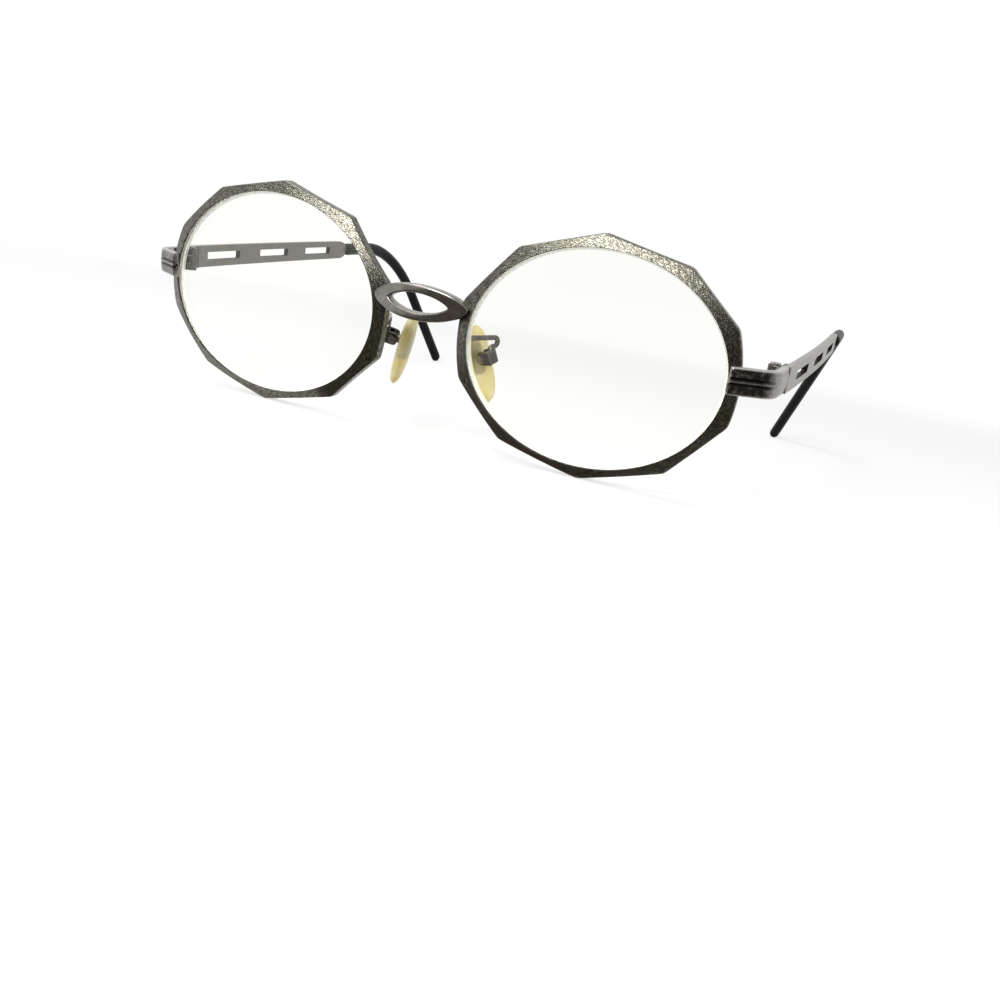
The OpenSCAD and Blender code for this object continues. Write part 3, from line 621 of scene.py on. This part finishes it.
# Bridge
def bridge():
    """The pierced bridge: a pointed oval round a pointed hole, its ends on the rims' faces."""
    half_l = LENS_X - OPEN_A * math.cos(math.asin(BRIDGE_Z / OPEN_B)) * math.cos(WRAP) - BRIDGE_SHORT
    front_y = -OPEN_A * math.sin(WRAP) - BRIDGE_STAND
    rings = []
    for k in range(BRIDGE_POINTS):
        at = math.tau * (k + 0.5) / BRIDGE_POINTS
        outer = Vector((half_l * math.cos(at), BRIDGE_H / 2 * power(math.sin(at), 2 * BRIDGE_POINT)))
        inner = Vector((BRIDGE_HOLE_L / 2 * math.cos(at),
                        BRIDGE_HOLE_H / 2 * power(math.sin(at), 2 * BRIDGE_HOLE_POINT)))
        wide = (inner - outer).length
        run = (inner - outer).normalized()
        corners = [Vector(c) for c in ((0, BRIDGE_T), (0, 0), (wide, 0), (wide, BRIDGE_T))]
        ring = []
        for p in eased(corners, BRIDGE_ROUNDS, 5):
            x = outer.x + run.x * p.x
            bow = BRIDGE_BOW * (1 - (x / half_l) ** 2)
            ring.append(Vector((x, front_y - bow + p.y, BRIDGE_Z + outer.y + run.y * p.x)))
        rings.append(ring)
    piece = shape("bridge_bar", LEFT, rings, True, 40)
    piece.data.materials.append(bridge_silver)
    return piece


# End pieces
def end_section(inset, deep):
    """Section of an end piece: depth under its outer face, and height. The face is a little domed."""
    half = END_H / 2
    corners = [Vector(c) for c in (
        (END_T - inset, -half + inset), (inset, -half + inset),
        (inset, half - inset), (END_T - inset, half - inset))]
    outline = eased(corners, END_ROUNDS, 4)
    # The grooves go in after the last point of the outer face's lower half
    low = max(k for k, p in enumerate(outline) if abs(p.x - inset) < 1e-6 and p.y < 0)
    grooves = []
    for middle in (-(RIDGE_W + GROOVE_W) / 2, (RIDGE_W + GROOVE_W) / 2):
        for step in range(-5, 6):
            off = step / 5
            grooves.append(Vector((inset + deep * (1 - off * off), middle + off * GROOVE_W / 2)))
    outline[low + 1:low + 1] = grooves
    return [Vector((p.x + END_DOME * (p.y / half) ** 2 * (1 - p.x / END_T), p.y)) for p in outline]


def end_piece(name, side):
    """A flat bar along the rim's sloping face, bent back to the joint line, with two grooves."""
    bend = math.pi / 2 - SPLAY - END_SLOPE
    rear = END_REAR - FOLD_GAP / 2
    stations = [(0.0, END_CHAMFER), (END_CHAMFER / 3, END_CHAMFER / 4), (END_CHAMFER, 0.0), (0.5, 0.0)]
    stations += [(END_LAP * k / 10, 0.0) for k in range(1, 10)]
    stations += [(END_LAP + END_R * bend * k / 20, 0.0) for k in range(21)]
    total = END_LAP + END_R * bend + rear
    stations += [(total - rear * k / 6, 0.0) for k in range(5, 0, -1)]
    stations += [(total - 0.1, 0.0), (total, 0.05)]

    def at(length, depth, up):
        """A point of the bar, so far along its outer face, under it and up."""
        if length <= END_LAP:
            spot = LAP_START + LAP_OUT * (END_T - depth)
            spot = spot + Vector((math.cos(END_SLOPE), math.sin(END_SLOPE))) * length
        elif length <= END_LAP + END_R * bend:
            heading = END_SLOPE + (length - END_LAP) / END_R
            spot = BEND_CENTRE + Vector((math.sin(heading), -math.cos(heading))) * (END_R - depth)
        else:
            spot = JOINT - Vector((math.cos(SPLAY), -math.sin(SPLAY))) * depth
            back = END_REAR - (length - END_LAP - END_R * bend)
            spot = spot - Vector((math.sin(SPLAY), math.cos(SPLAY))) * back
        return Vector((spot.x, spot.y, END_Z + up))

    rings = []
    for length, inset in stations:
        fade = min(max((GROOVE_END - length) / GROOVE_FADE, 0), 1)
        deep = GROOVE_DEEP * fade * fade * (3 - 2 * fade)
        rings.append([at(length, p.x, p.y) for p in end_section(inset, deep)])
    piece = shape(name, side, rings, False, 40)
    piece.data.materials.append(end_silver[side])
    return piece


# Side arms
def strip_point(length, depth):
    """A point of the bowed strip, so far along it and under its outer face: out and back."""
    turn = max(length - LEAF_L, 0) / BOW_R
    return (-BOW_R + (BOW_R - depth) * math.cos(turn),
            min(length, LEAF_L) + (BOW_R - depth) * math.sin(turn))


def growing_tree(name, result, sizes):
    """A Geometry Nodes tree for one result, and its inputs by name; one with no size is geometry."""
    group = bpy.data.node_groups.new(name, "GeometryNodeTree")
    kinds = {type(None): "Geometry", int: "Int", float: "Float"}
    for label, size in sizes.items():
        kind = "NodeSocket" + kinds[type(size)]
        socket = group.interface.new_socket(label, in_out="INPUT", socket_type=kind)
        if size is not None:
            socket.default_value = size
    group.interface.new_socket(result, in_out="OUTPUT", socket_type="NodeSocketGeometry")
    t = Tree(group)
    asked = group.nodes.new("NodeGroupInput")
    return t, {label: Value(t, asked.outputs[label]) for label in sizes}


def slotted_strip_tree(metal):
    """Geometry Nodes: fills an outline round a row of slots, thickens it and bows it."""
    t, size = growing_tree("slotted_strip", "Strip", {
        "Outline": None, "Slots": SLOT_COUNT, "First slot": SLOT_FIRST, "Slot length": SLOT_L,
        "Slot height": SLOT_H, "Slot pitch": SLOT_PITCH, "Slot corner": SLOT_CORNER,
        "Thickness": TEMPLE_T, "Straight length": LEAF_L, "Bow radius": BOW_R})
    block = t.add("GeometryNodeCurvePrimitiveQuadrilateral", {},
                  {"Width": size["Slot length"], "Height": size["Slot height"]})
    slot = t.add("GeometryNodeFilletCurve", {"mode": "POLY"},
                 {"Curve": block, "Radius": size["Slot corner"], "Count": 5})
    start = t.add("ShaderNodeCombineXYZ", {}, {"X": size["First slot"] + size["Slot length"] / 2})
    step = t.add("ShaderNodeCombineXYZ", {}, {"X": size["Slot pitch"]})
    row = t.add("GeometryNodeMeshLine", {"mode": "OFFSET"},
                {"Count": size["Slots"], "Start Location": start, "Offset": step})
    slots = t.add("GeometryNodeInstanceOnPoints", {}, {"Points": row, "Instance": slot})
    every = t.add("GeometryNodeRealizeInstances", {}, {"Geometry": slots})
    both = t.join(size["Outline"], every)
    face = t.add("GeometryNodeFillCurve", {"mode": "TRIANGLES"}, {"Curve": both})
    walls = t.add("GeometryNodeExtrudeMesh", {"mode": "FACES"},
                  {"Mesh": face, "Offset Scale": size["Thickness"], "Individual": False})
    under = t.add("GeometryNodeFlipFaces", {}, {"Mesh": face})
    solid = t.join(walls, under)
    whole = t.add("GeometryNodeMergeByDistance", {}, {"Geometry": solid, "Distance": 0.001})

    length, height, rise = t.parts(t.add("GeometryNodeInputPosition"))
    turn = (length - size["Straight length"]).of("MAXIMUM", 0.0) / size["Bow radius"]
    radius = size["Bow radius"] - size["Thickness"] + rise
    bowed = t.add("ShaderNodeCombineXYZ", {}, {
        "X": turn.of("COSINE") * radius - size["Bow radius"],
        "Y": length.of("MINIMUM", size["Straight length"]) + turn.of("SINE") * radius,
        "Z": height})
    strip = t.add("GeometryNodeSetPosition", {}, {"Geometry": whole, "Position": bowed})
    coated = t.add("GeometryNodeSetMaterial", {}, {"Geometry": strip, "Material": metal})
    real = t.add("GeometryNodeRealizeInstances", {}, {"Geometry": coated})
    t.add("NodeGroupOutput", {}, {"Strip": real})
    return t.tree


def grown(name, curve, group, values):
    """Runs a Geometry Nodes tree on a curve and hands back its plain mesh."""
    base = bpy.data.objects.new(name, curve)
    bpy.context.scene.collection.objects.link(base)
    modifier = base.modifiers.new("grow", "NODES")
    modifier.node_group = group
    sockets = {s.name: s.identifier for s in group.interface.items_tree if s.in_out == "INPUT"}
    for key, value in values.items():
        modifier[sockets[key]] = value
    graph = bpy.context.evaluated_depsgraph_get()
    mesh = bpy.data.meshes.new_from_object(base.evaluated_get(graph))
    base.modifiers.remove(modifier)
    bpy.data.objects.remove(base)
    return mesh


def poly_curve(name, points, cyclic):
    """A curve of straight runs through points, closed or open."""
    curve = bpy.data.curves.new(name, "CURVE")
    curve.dimensions = "3D"
    line = curve.splines.new("POLY")
    line.points.add(len(points) - 1)
    for spot, p in zip(line.points, points):
        spot.co = (p.x, p.y, p.z, 1.0)
    line.use_cyclic_u = cyclic
    return curve


def in_order(build):
    """Puts a mesh in order of place, because a filled outline comes in a new order each run."""
    for items, spot in ((build.verts, lambda vert: vert.co),
                        (build.edges, lambda edge: edge.verts[0].co + edge.verts[1].co),
                        (build.faces, lambda face: face.calc_center_median())):
        ranked = sorted(items, key=lambda item: tuple(spot(item)))
        rank = {item: k for k, item in enumerate(ranked)}
        items.sort(key=lambda item: rank[item])


def strip_outline():
    """The strip laid flat: length along X, height along Y."""
    half = TEMPLE_H / 2
    start = FOLD_GAP / 2
    top = [Vector((start + (TEMPLE_L - NECK_L - start) * k / 60, half, 0)) for k in range(60)]
    for k in range(17):
        u = math.sin(math.pi / 2 * k / 16)
        rise = math.sqrt(max(1 - u * u, 0))
        top.append(Vector((TEMPLE_L - NECK_L * (1 - u), NECK_H / 2 + (half - NECK_H / 2) * rise, 0)))
    bottom = [Vector((p.x, -p.y, 0)) for p in reversed(top)]
    return top + bottom


def strip(name, side, group):
    """A side arm's slotted strip with its edges broken, and the core wire that runs on into the tip."""
    mesh = grown(name, poly_curve(name, strip_outline(), True), group, {"Slots": SLOT_COUNT})
    mesh.materials.clear()
    for metal in (arm_silver, slot_shade, inner_silver):
        mesh.materials.append(metal)
    build = bmesh.new()
    build.from_mesh(mesh)
    edges = [e for e in build.edges if e.is_manifold and e.calc_face_angle() > math.radians(50)]
    bmesh.ops.bevel(build, geom=edges, offset=ARM_EDGE, segments=3, profile=0.6, affect="EDGES",
                    clamp_overlap=True)
    # The slots' walls take a dark painted shade, and the face towards the head a darker copy of the
    # silver, also painted shade
    slots_end = SLOT_FIRST + SLOT_PITCH * (SLOT_COUNT - 1) + SLOT_L
    for face in build.faces:
        middle = face.calc_center_median()
        among_slots = SLOT_FIRST - 0.3 < middle.y < slots_end + 0.3
        if among_slots and abs(middle.z) < SLOT_H / 2 + 0.02 and abs(face.normal.x) < 0.4:
            face.material_index = 1
        else:
            face.material_index = 2 if face.normal.x < -0.6 else 0
    core_l = CORE_INSIDE + TIP_L - CORE_SHORT
    rows = []
    for k in range(61):
        place, across, up = ear_path(core_l * k / 60 - CORE_INSIDE)
        rows.append([build.verts.new(p) for p in oval(place, across, up, CORE_R, CORE_R, 16)])
    for near, far in zip(rows, rows[1:]):
        for j, before in enumerate(near):
            build.faces.new((near[j - 1], before, far[j], far[j - 1]))
    build.faces.new(rows[0])
    build.faces.new(rows[-1])
    grain = build.loops.layers.uv.new("grain")
    for face in build.faces:
        for loop in face.loops:
            p = loop.vert.co
            loop[grain].uv = (p.y, p.z + p.x)
    for vert in build.verts:
        vert.co = stand(from_joint(*vert.co), side)
    in_order(build)
    return finished(name, mesh, build, 30)


def ear_path(t):
    """Place on the tip's path, its heading, and the direction of its height."""
    turn = (TEMPLE_L - LEAF_L) / BOW_R
    start = Vector((*strip_point(TEMPLE_L, TEMPLE_T / 2), 0))
    on = Vector((-math.sin(turn), math.cos(turn), 0))
    down = Vector((-math.cos(turn) * math.sin(EAR_ROLL), -math.sin(turn) * math.sin(EAR_ROLL),
                   -math.cos(EAR_ROLL)))
    angle = min(max((t - EAR_START) / EAR_R, 0), EAR_BEND)
    heading = on * math.cos(angle) + down * math.sin(angle)
    place = start + on * (min(t, EAR_START) + EAR_R * math.sin(angle))
    place += down * (EAR_R * (1 - math.cos(angle)))
    place += heading * max(t - EAR_START - EAR_R * EAR_BEND, 0)
    across = on.cross(down)
    return place, across, heading.cross(across)


def tube_along_ear(name, side, stations, half_w, half_h, count):
    """A tube over the tip's path; each station is a length and a share of the full section."""
    rings = []
    for t, share in stations:
        place, across, up = ear_path(t)
        ring = oval(place, across, up, half_w * share, half_h(t) * share, count)
        rings.append([from_joint(*p) for p in ring])
    return shape(name, side, rings, False, 50)


def tip(name, side):
    """A black tip: a soft shoulder at the metal, an ear bend and a rounded end."""
    front = [(TIP_FRONT + on, share) for on, share in TIP_SHOULDER]
    full = front[-1][0]
    body_l = TIP_L - TIP_ROUND - full
    body = [(full + body_l * k / 90, 1.0) for k in range(1, 91)]
    end = [(TIP_L - TIP_ROUND + TIP_ROUND * math.sin(a), math.cos(a))
           for a in (math.radians(turn) for turn in TIP_END_TURNS)]
    piece = tube_along_ear(name, side, front + body + end, TIP_SHARE * TIP_T / 2,
                           lambda t: TIP_SHARE * (TIP_H + (TIP_END_H - TIP_H) * t / TIP_L) / 2, 32)
    piece.data.materials.append(black)
    return piece


# Nose pads and their arms
def from_pad(p):
    """A point of a pad's frame: X away from the nose, Y along the screw, Z up."""
    turn = Matrix.Rotation(-PAD_SPLAY, 3, "Z") @ Matrix.Rotation(PAD_TILT, 3, "X")
    return turn @ Matrix.Rotation(-PAD_FLARE, 3, "Y") @ p + PAD_PLACE


def nose_pad(name, side):
    """A soft pad, thin at its edge and crowned on both faces, narrower below than above."""
    middle = Vector((-PAD_GAP - PAD_T / 2, 0, -PAD_DROP))
    rings = []
    for k in range(1, PAD_RINGS):
        swing = math.pi * (k / PAD_RINGS - 0.5)
        share = math.cos(swing) ** 0.5
        x = PAD_T / 2 * math.copysign(abs(math.sin(swing)) ** 0.9, swing)
        x -= PAD_CROWN * (1 - share ** 2) if swing < 0 else 0
        ring = []
        for j in range(PAD_POINTS):
            a = -math.tau * j / PAD_POINTS
            along = power(math.sin(a), PAD_SQUARE)
            wide = (1 + PAD_TAPER * along) * power(math.cos(a), PAD_SQUARE)
            ring.append(from_pad(middle + Vector((
                x, PAD_W / 2 * wide * share, PAD_L / 2 * share * along))))
        rings.append(ring)
    piece = shape(name, side, rings, False, 60)
    piece.data.materials.append(amber)
    return piece


def wire_tree(metal):
    """Geometry Nodes: a round wire of a given radius swept along a path."""
    t, size = growing_tree("bent_wire", "Wire", {"Path": None, "Wire radius": ARM_R, "Sides": 24})
    circle = t.add("GeometryNodeCurvePrimitiveCircle", {},
                   {"Resolution": size["Sides"], "Radius": size["Wire radius"]})
    wire = t.add("GeometryNodeCurveToMesh", {},
                 {"Curve": size["Path"], "Profile Curve": circle, "Fill Caps": True})
    smooth = t.add("GeometryNodeSetShadeSmooth", {}, {"Geometry": wire})
    coated = t.add("GeometryNodeSetMaterial", {}, {"Geometry": smooth, "Material": metal})
    real = t.add("GeometryNodeRealizeInstances", {}, {"Geometry": coated})
    t.add("NodeGroupOutput", {}, {"Wire": real})
    return t.tree


def arm_path():
    """From the rim's back, through a hairpin, down on the back wall of the pad's box."""
    inner, outer = rim_ends(ARM_AT)
    seat = turned((inner + outer) / 2)
    box_top = from_pad(Vector((EYE_R + EYE_ROOM + ARM_R + ARM_MARGIN, 0, BOX_H / 2)))
    run = (box_top - seat).xy
    on = Vector((*run.normalized(), 0))
    top = box_top.z + 3 * ARM_TURN
    turn_at = run.length + ARM_OVER

    def at(length, height):
        return Vector((seat.x, seat.y, 0)) + on * length + Vector((0, 0, height))

    points = [at(-0.3, top)] + [at(turn_at * k / 6, top) for k in range(1, 6)]
    for k in range(25):
        a = math.pi * k / 24
        points.append(at(turn_at + ARM_TURN * math.sin(a), top - ARM_TURN * (1 - math.cos(a))))
    for k in range(1, 13):
        a = math.pi / 2 * k / 12
        points.append(at(run.length + ARM_TURN * (1 - math.sin(a)),
                         box_top.z + ARM_TURN * math.cos(a)))
    points.append(at(run.length, box_top.z - 0.25))
    return points


def rim_ends(angle):
    """The two corners of a rim's back at an angle, inner and outer, in the rim's own frame."""
    a = math.radians(angle)
    inner = Vector((OPEN_A * math.cos(a), RIM_INNER, OPEN_B * math.sin(a)))
    outer = Vector((OUTER_A * math.cos(a), 0, OUTER_B * math.sin(a)))
    flat = Vector((outer.x - inner.x, 0, outer.z - inner.z))
    outer.y = RIM_SLOPE * flat.length + RIM_WALL
    return inner, outer


def pad_arm(name, side, group):
    """The wire from a rim's back to its pad's box."""
    mesh = grown(name, poly_curve(name, arm_path(), False), group, {"Wire radius": ARM_R})
    build = bmesh.new()
    build.from_mesh(mesh)
    bmesh.ops.remove_doubles(build, verts=build.verts, dist=0.0005)
    for vert in build.verts:
        vert.co = stand(vert.co, side)
    return finished(name, mesh, build, 50)


def pad_box(name, side):
    """A box with two rounded cheeks round the pad's screw, and a back wall on the wire's end."""
    inner = EYE_R + EYE_ROOM
    back = inner + 2 * (ARM_R + ARM_MARGIN)
    low = EYE_W / 2 + EYE_GAP
    high = low + BOX_WALL

    def outline(front, rounds):
        """A rounded oblong of the box's height, as seen along the screw."""
        half = BOX_H / 2
        corners = ((front, -half), (back, -half), (back, half), (front, half))
        return eased([Vector(c) for c in corners], rounds, 8)

    build = bmesh.new()
    for face in (LEFT, RIGHT):
        rings = []
        for p in outline(-BOX_FRONT, CHEEK_ROUNDS):
            wide = p.length - BOX_HOLE
            run = p.normalized()
            corners = [Vector(c) for c in ((0, low), (0, high), (wide, high), (wide, low))]
            ring = []
            for q in eased(corners, CHEEK_EDGES):
                out = run * (BOX_HOLE + q.x)
                ring.append(from_pad(Vector((out.x, face * q.y, out.y))))
            rings.append(ring)
        taken(build, shape("cheek", side, rings, True, 40))
    wall = outline(inner, BACK_ROUNDS)
    reach_y = low + BACK_LAP
    rings = [[from_pad(Vector((p.x, y, p.y))) for p in wall] for y in (-reach_y, 0.0, reach_y)]
    taken(build, shape("back_wall", side, rings, False, 40))
    piece = finished(name, bpy.data.meshes.new(name), build, 40)
    piece.data.materials.append(wire_steel)
    return piece


def around_at(profile, wanted):
    """Distance round a profile from its first point to the point of a given index."""
    return sum((b - a).length for a, b in zip(profile[:wanted], profile[1:wanted + 1]))


# Finishes in use, with the places on the UV maps where they put painted shade and painted highlight
# The rim's inner wall starts at the end of its section's fourth round
fourth_round_end = 4 * (RIM_STEPS + 3) - 2
wall_from = around_at(rim_section(SPLIT_AT), fourth_round_end)
end_profile = end_section(END_CHAMFER, GROOVE_DEEP)
ridge_edge = min(range(len(end_profile)), key=lambda k: abs(end_profile[k].y + RIDGE_W / 2))
pewter = pewter_face(wall_from)
bridge_silver = smooth_metal("bridge_silver", (0.25, 0.238, 0.218), (0.17, 0.157, 0.14), 0.2)
ridge_at = around_at(end_profile, ridge_edge) + RIDGE_W / 2
# The left end piece takes a stronger painted shade over its lap than the right
end_silver = {LEFT: grooved_silver("left_end_silver", ridge_at, 0.95),
              RIGHT: grooved_silver("right_end_silver", ridge_at, 0.4)}
arm_silver = satin_silver("satin_silver", (0.40, 0.387, 0.35), (0.22, 0.21, 0.187))
# A darker copy of the silver for the side arms' faces towards the head: painted shade
inner_silver = satin_silver("inner_silver", (0.24, 0.23, 0.2), (0.13, 0.125, 0.108))
slot_shade = dark_patina()
block_pewter = smooth_metal("block_pewter", (0.15, 0.142, 0.128), (0.06, 0.055, 0.048), 0.34)
wire_steel = smooth_metal("wire_steel", (0.18, 0.173, 0.152), (0.08, 0.076, 0.066), 0.2)
screw_steel = smooth_metal("screw_steel", (0.46, 0.45, 0.42), (0.30, 0.29, 0.27), 0.2)
insert_steel = smooth_metal("insert_steel", (0.40, 0.39, 0.33), (0.25, 0.24, 0.2), 0.25)
black = black_plastic()
lens_clear = clear_lens()
lens_edge = ground_edge()
amber = amber_pad()

# The dressed object
strip_nodes = slotted_strip_tree(arm_silver)
wire_nodes = wire_tree(wire_steel)

dress(bridge(), "front", "bridge_metal", "bridge")
for word, side in SIDES:
    dress(rim(f"{word}_rim_band", side), "front", "rim_metal", f"{word}_rim")
    dress(lens(f"{word}_lens_glass", side), "front", "lens", f"{word}_lens")
    dress(end_piece(f"{word}_end_bar", side), "front", "endpiece_metal", f"{word}_endpiece")
    dress(pad_arm(f"{word}_pad_wire", side, wire_nodes), "front", "wire_metal", f"{word}_pad_arm")
    dress(pad_box(f"{word}_pad_clasp", side), "front", "wire_metal", f"{word}_pad_box")
    dress(nose_pad(f"{word}_pad_cushion", side), f"{word}_pad", "pad_plastic", f"{word}_nose_pad")
    arm_body = f"{word}_side_arm"
    dress(strip(f"{word}_arm_strip", side, strip_nodes), arm_body, "temple_metal", f"{word}_temple")
    dress(tip(f"{word}_ear_tip", side), arm_body, "tip_plastic", f"{word}_temple_tip")

# Small exact parts keep their own solids and take a finish and broken edges
kept_finish = {
    "closing_block_upper": block_pewter, "closing_block_lower": block_pewter,
    "closing_screw": screw_steel, "front_hinge": block_pewter, "hinge_screw": screw_steel,
    "temple_hinge": block_pewter, "pad_screw": screw_steel, "pad_insert": insert_steel,
}
for word, _ in SIDES:
    for part, metal in kept_finish.items():
        kept = frame["nodes"][f"{word}_{part}"]
        for holder in kept.material_slots:
            holder.material = metal
        weld = kept.modifiers.new("joined", "WELD")
        weld.merge_threshold = 0.000001
        broken = kept.modifiers.new("broken_edges", "BEVEL")
        broken.width = 0.1 * MM
        broken.segments = 3
        broken.limit_method = "ANGLE"
        broken.angle_limit = math.radians(40)
        broken.harden_normals = True


# Floor, light and camera
def flat(name, material, corners):
    """One flat face with a material."""
    mesh = bpy.data.meshes.new(name)
    mesh.from_pydata(corners, [], [tuple(range(len(corners)))])
    mesh.materials.append(material)
    piece = bpy.data.objects.new(name, mesh)
    bpy.context.scene.collection.objects.link(piece)
    return piece


def floor():
    """A wide pale floor: it keeps the object's shadow near it and turns plain white far off."""
    f = Finish("pale_floor")
    seen = f.seen_rays()
    lit = f.add("ShaderNodeBsdfDiffuse", {}, {"Color": shade([FLOOR_GREY] * 3)})
    glow = f.add("ShaderNodeEmission", {}, {"Color": shade((1, 1, 1)), "Strength": seen * FLOOR_GLOW})
    near = f.add("ShaderNodeAddShader", {}, {0: lit, 1: glow})
    white = f.add("ShaderNodeEmission", {}, {"Color": shade((1, 1, 1)), "Strength": 1.0})
    spot = f.add("ShaderNodeTexCoord", gives="Object")
    span = f.add("ShaderNodeVectorMath", {"operation": "LENGTH"}, {0: spot}, gives=1)
    far = f.between(span, WHITE_STARTS, WHITE_BY)
    material = f.done(f.add("ShaderNodeMixShader", {}, {0: far, 1: near, 2: white}))
    corners = [(x * FLOOR_REACH, y * FLOOR_REACH, 0) for x, y in ((-1, -1), (1, -1), (1, 1), (-1, 1))]
    piece = flat("floor", material, corners)


def backdrop():
    """The world: soft plain light, and white to the camera, gloss and glass."""
    world = bpy.data.worlds.new("studio")
    world.use_nodes = True
    world.node_tree.nodes.clear()
    w = Tree(world.node_tree)
    seen = w.seen_rays()
    soft = w.add("ShaderNodeBackground", {}, {"Color": shade((1, 1, 1)), "Strength": SKY_STRENGTH})
    white = w.add("ShaderNodeBackground", {}, {"Color": shade((1, 1, 1)), "Strength": 1.0})
    both = w.add("ShaderNodeMixShader", {}, {0: seen, 1: soft, 2: white})
    w.add("ShaderNodeOutputWorld", {}, {"Surface": both})
    bpy.context.scene.world = world


def softbox(name, toward, distance, size, watts):
    """A square lamp that faces the middle of the object from a direction."""
    data = bpy.data.lights.new(name, "AREA")
    data.shape = "SQUARE"
    data.size = size
    data.energy = watts
    lamp = bpy.data.objects.new(name, data)
    direction = Vector(toward).normalized()
    lamp.location = LAMPS_AIM + direction * distance
    lamp.rotation_euler = direction.to_track_quat("Z", "Y").to_euler()
    bpy.context.scene.collection.objects.link(lamp)


def dim_card(name, colour, corners):
    """A dark card on the viewer's side, seen only in gloss, as the dim end of a room is.

    It fades out beyond lines from the bridge towards its left end, and towards its top, which
    rises to the right.
    """
    f = Finish(name)
    x, y, z = f.parts(f.add("ShaderNodeTexCoord", gives="Object"))
    beside = f.between((x + 0.02) / (-0.03 - y), -0.5, -0.15)
    top = (x + 0.2).of("MAXIMUM", 0.0) * 0.55 + 0.1
    under = 1 - f.between(z / top, 0.5, 1.0)
    dark = f.add("ShaderNodeEmission", {}, {"Color": shade(colour), "Strength": 1.0})
    gone = f.add("ShaderNodeBsdfTransparent")
    material = f.done(f.add("ShaderNodeMixShader", {}, {0: beside * under, 1: gone, 2: dark}))
    card = flat(name, material, corners)
    for ray in ("camera", "diffuse", "transmission", "shadow", "volume_scatter"):
        setattr(card, f"visible_{ray}", False)


def camera():
    """The photograph's view."""
    up = VIEW_RIGHT.cross(VIEW_AHEAD)
    axes = Matrix((lean @ VIEW_RIGHT, lean @ up, -(lean @ VIEW_AHEAD))).transposed()
    data = bpy.data.cameras.new("view")
    data.sensor_width = VIEW_SENSOR
    data.lens = VIEW_LENS
    data.clip_start = 0.01
    eye = bpy.data.objects.new("view", data)
    eye.matrix_world = Matrix.Translation(stand(VIEW_PLACE)) @ axes.to_4x4()
    bpy.context.scene.collection.objects.link(eye)
    bpy.context.scene.camera = eye


floor()
backdrop()
softbox("window", toward=(0.0, -0.8, 0.6), distance=0.7, size=0.3, watts=5.5)
softbox("sky", toward=(-0.43, -0.2, 0.87), distance=0.8, size=0.4, watts=3.0)
dim_card("dim_end", (0.085, 0.066, 0.057), [
    (-0.35, -0.6, 0.0), (0.3, -0.62, 0.0), (0.75, -0.2, 0.0),
    (0.75, -0.2, 0.62), (0.3, -0.62, 0.38), (-0.35, -0.6, 0.12)])
dim_card("dim_table", (0.21, 0.185, 0.155), [
    (-0.02, -0.066, 0.0003), (0.1, -0.066, 0.0003), (0.75, -0.2, 0.0003),
    (0.3, -0.62, 0.0003), (-0.35, -0.6, 0.0003)])
camera()
bpy.context.scene.view_settings.view_transform = "Standard"
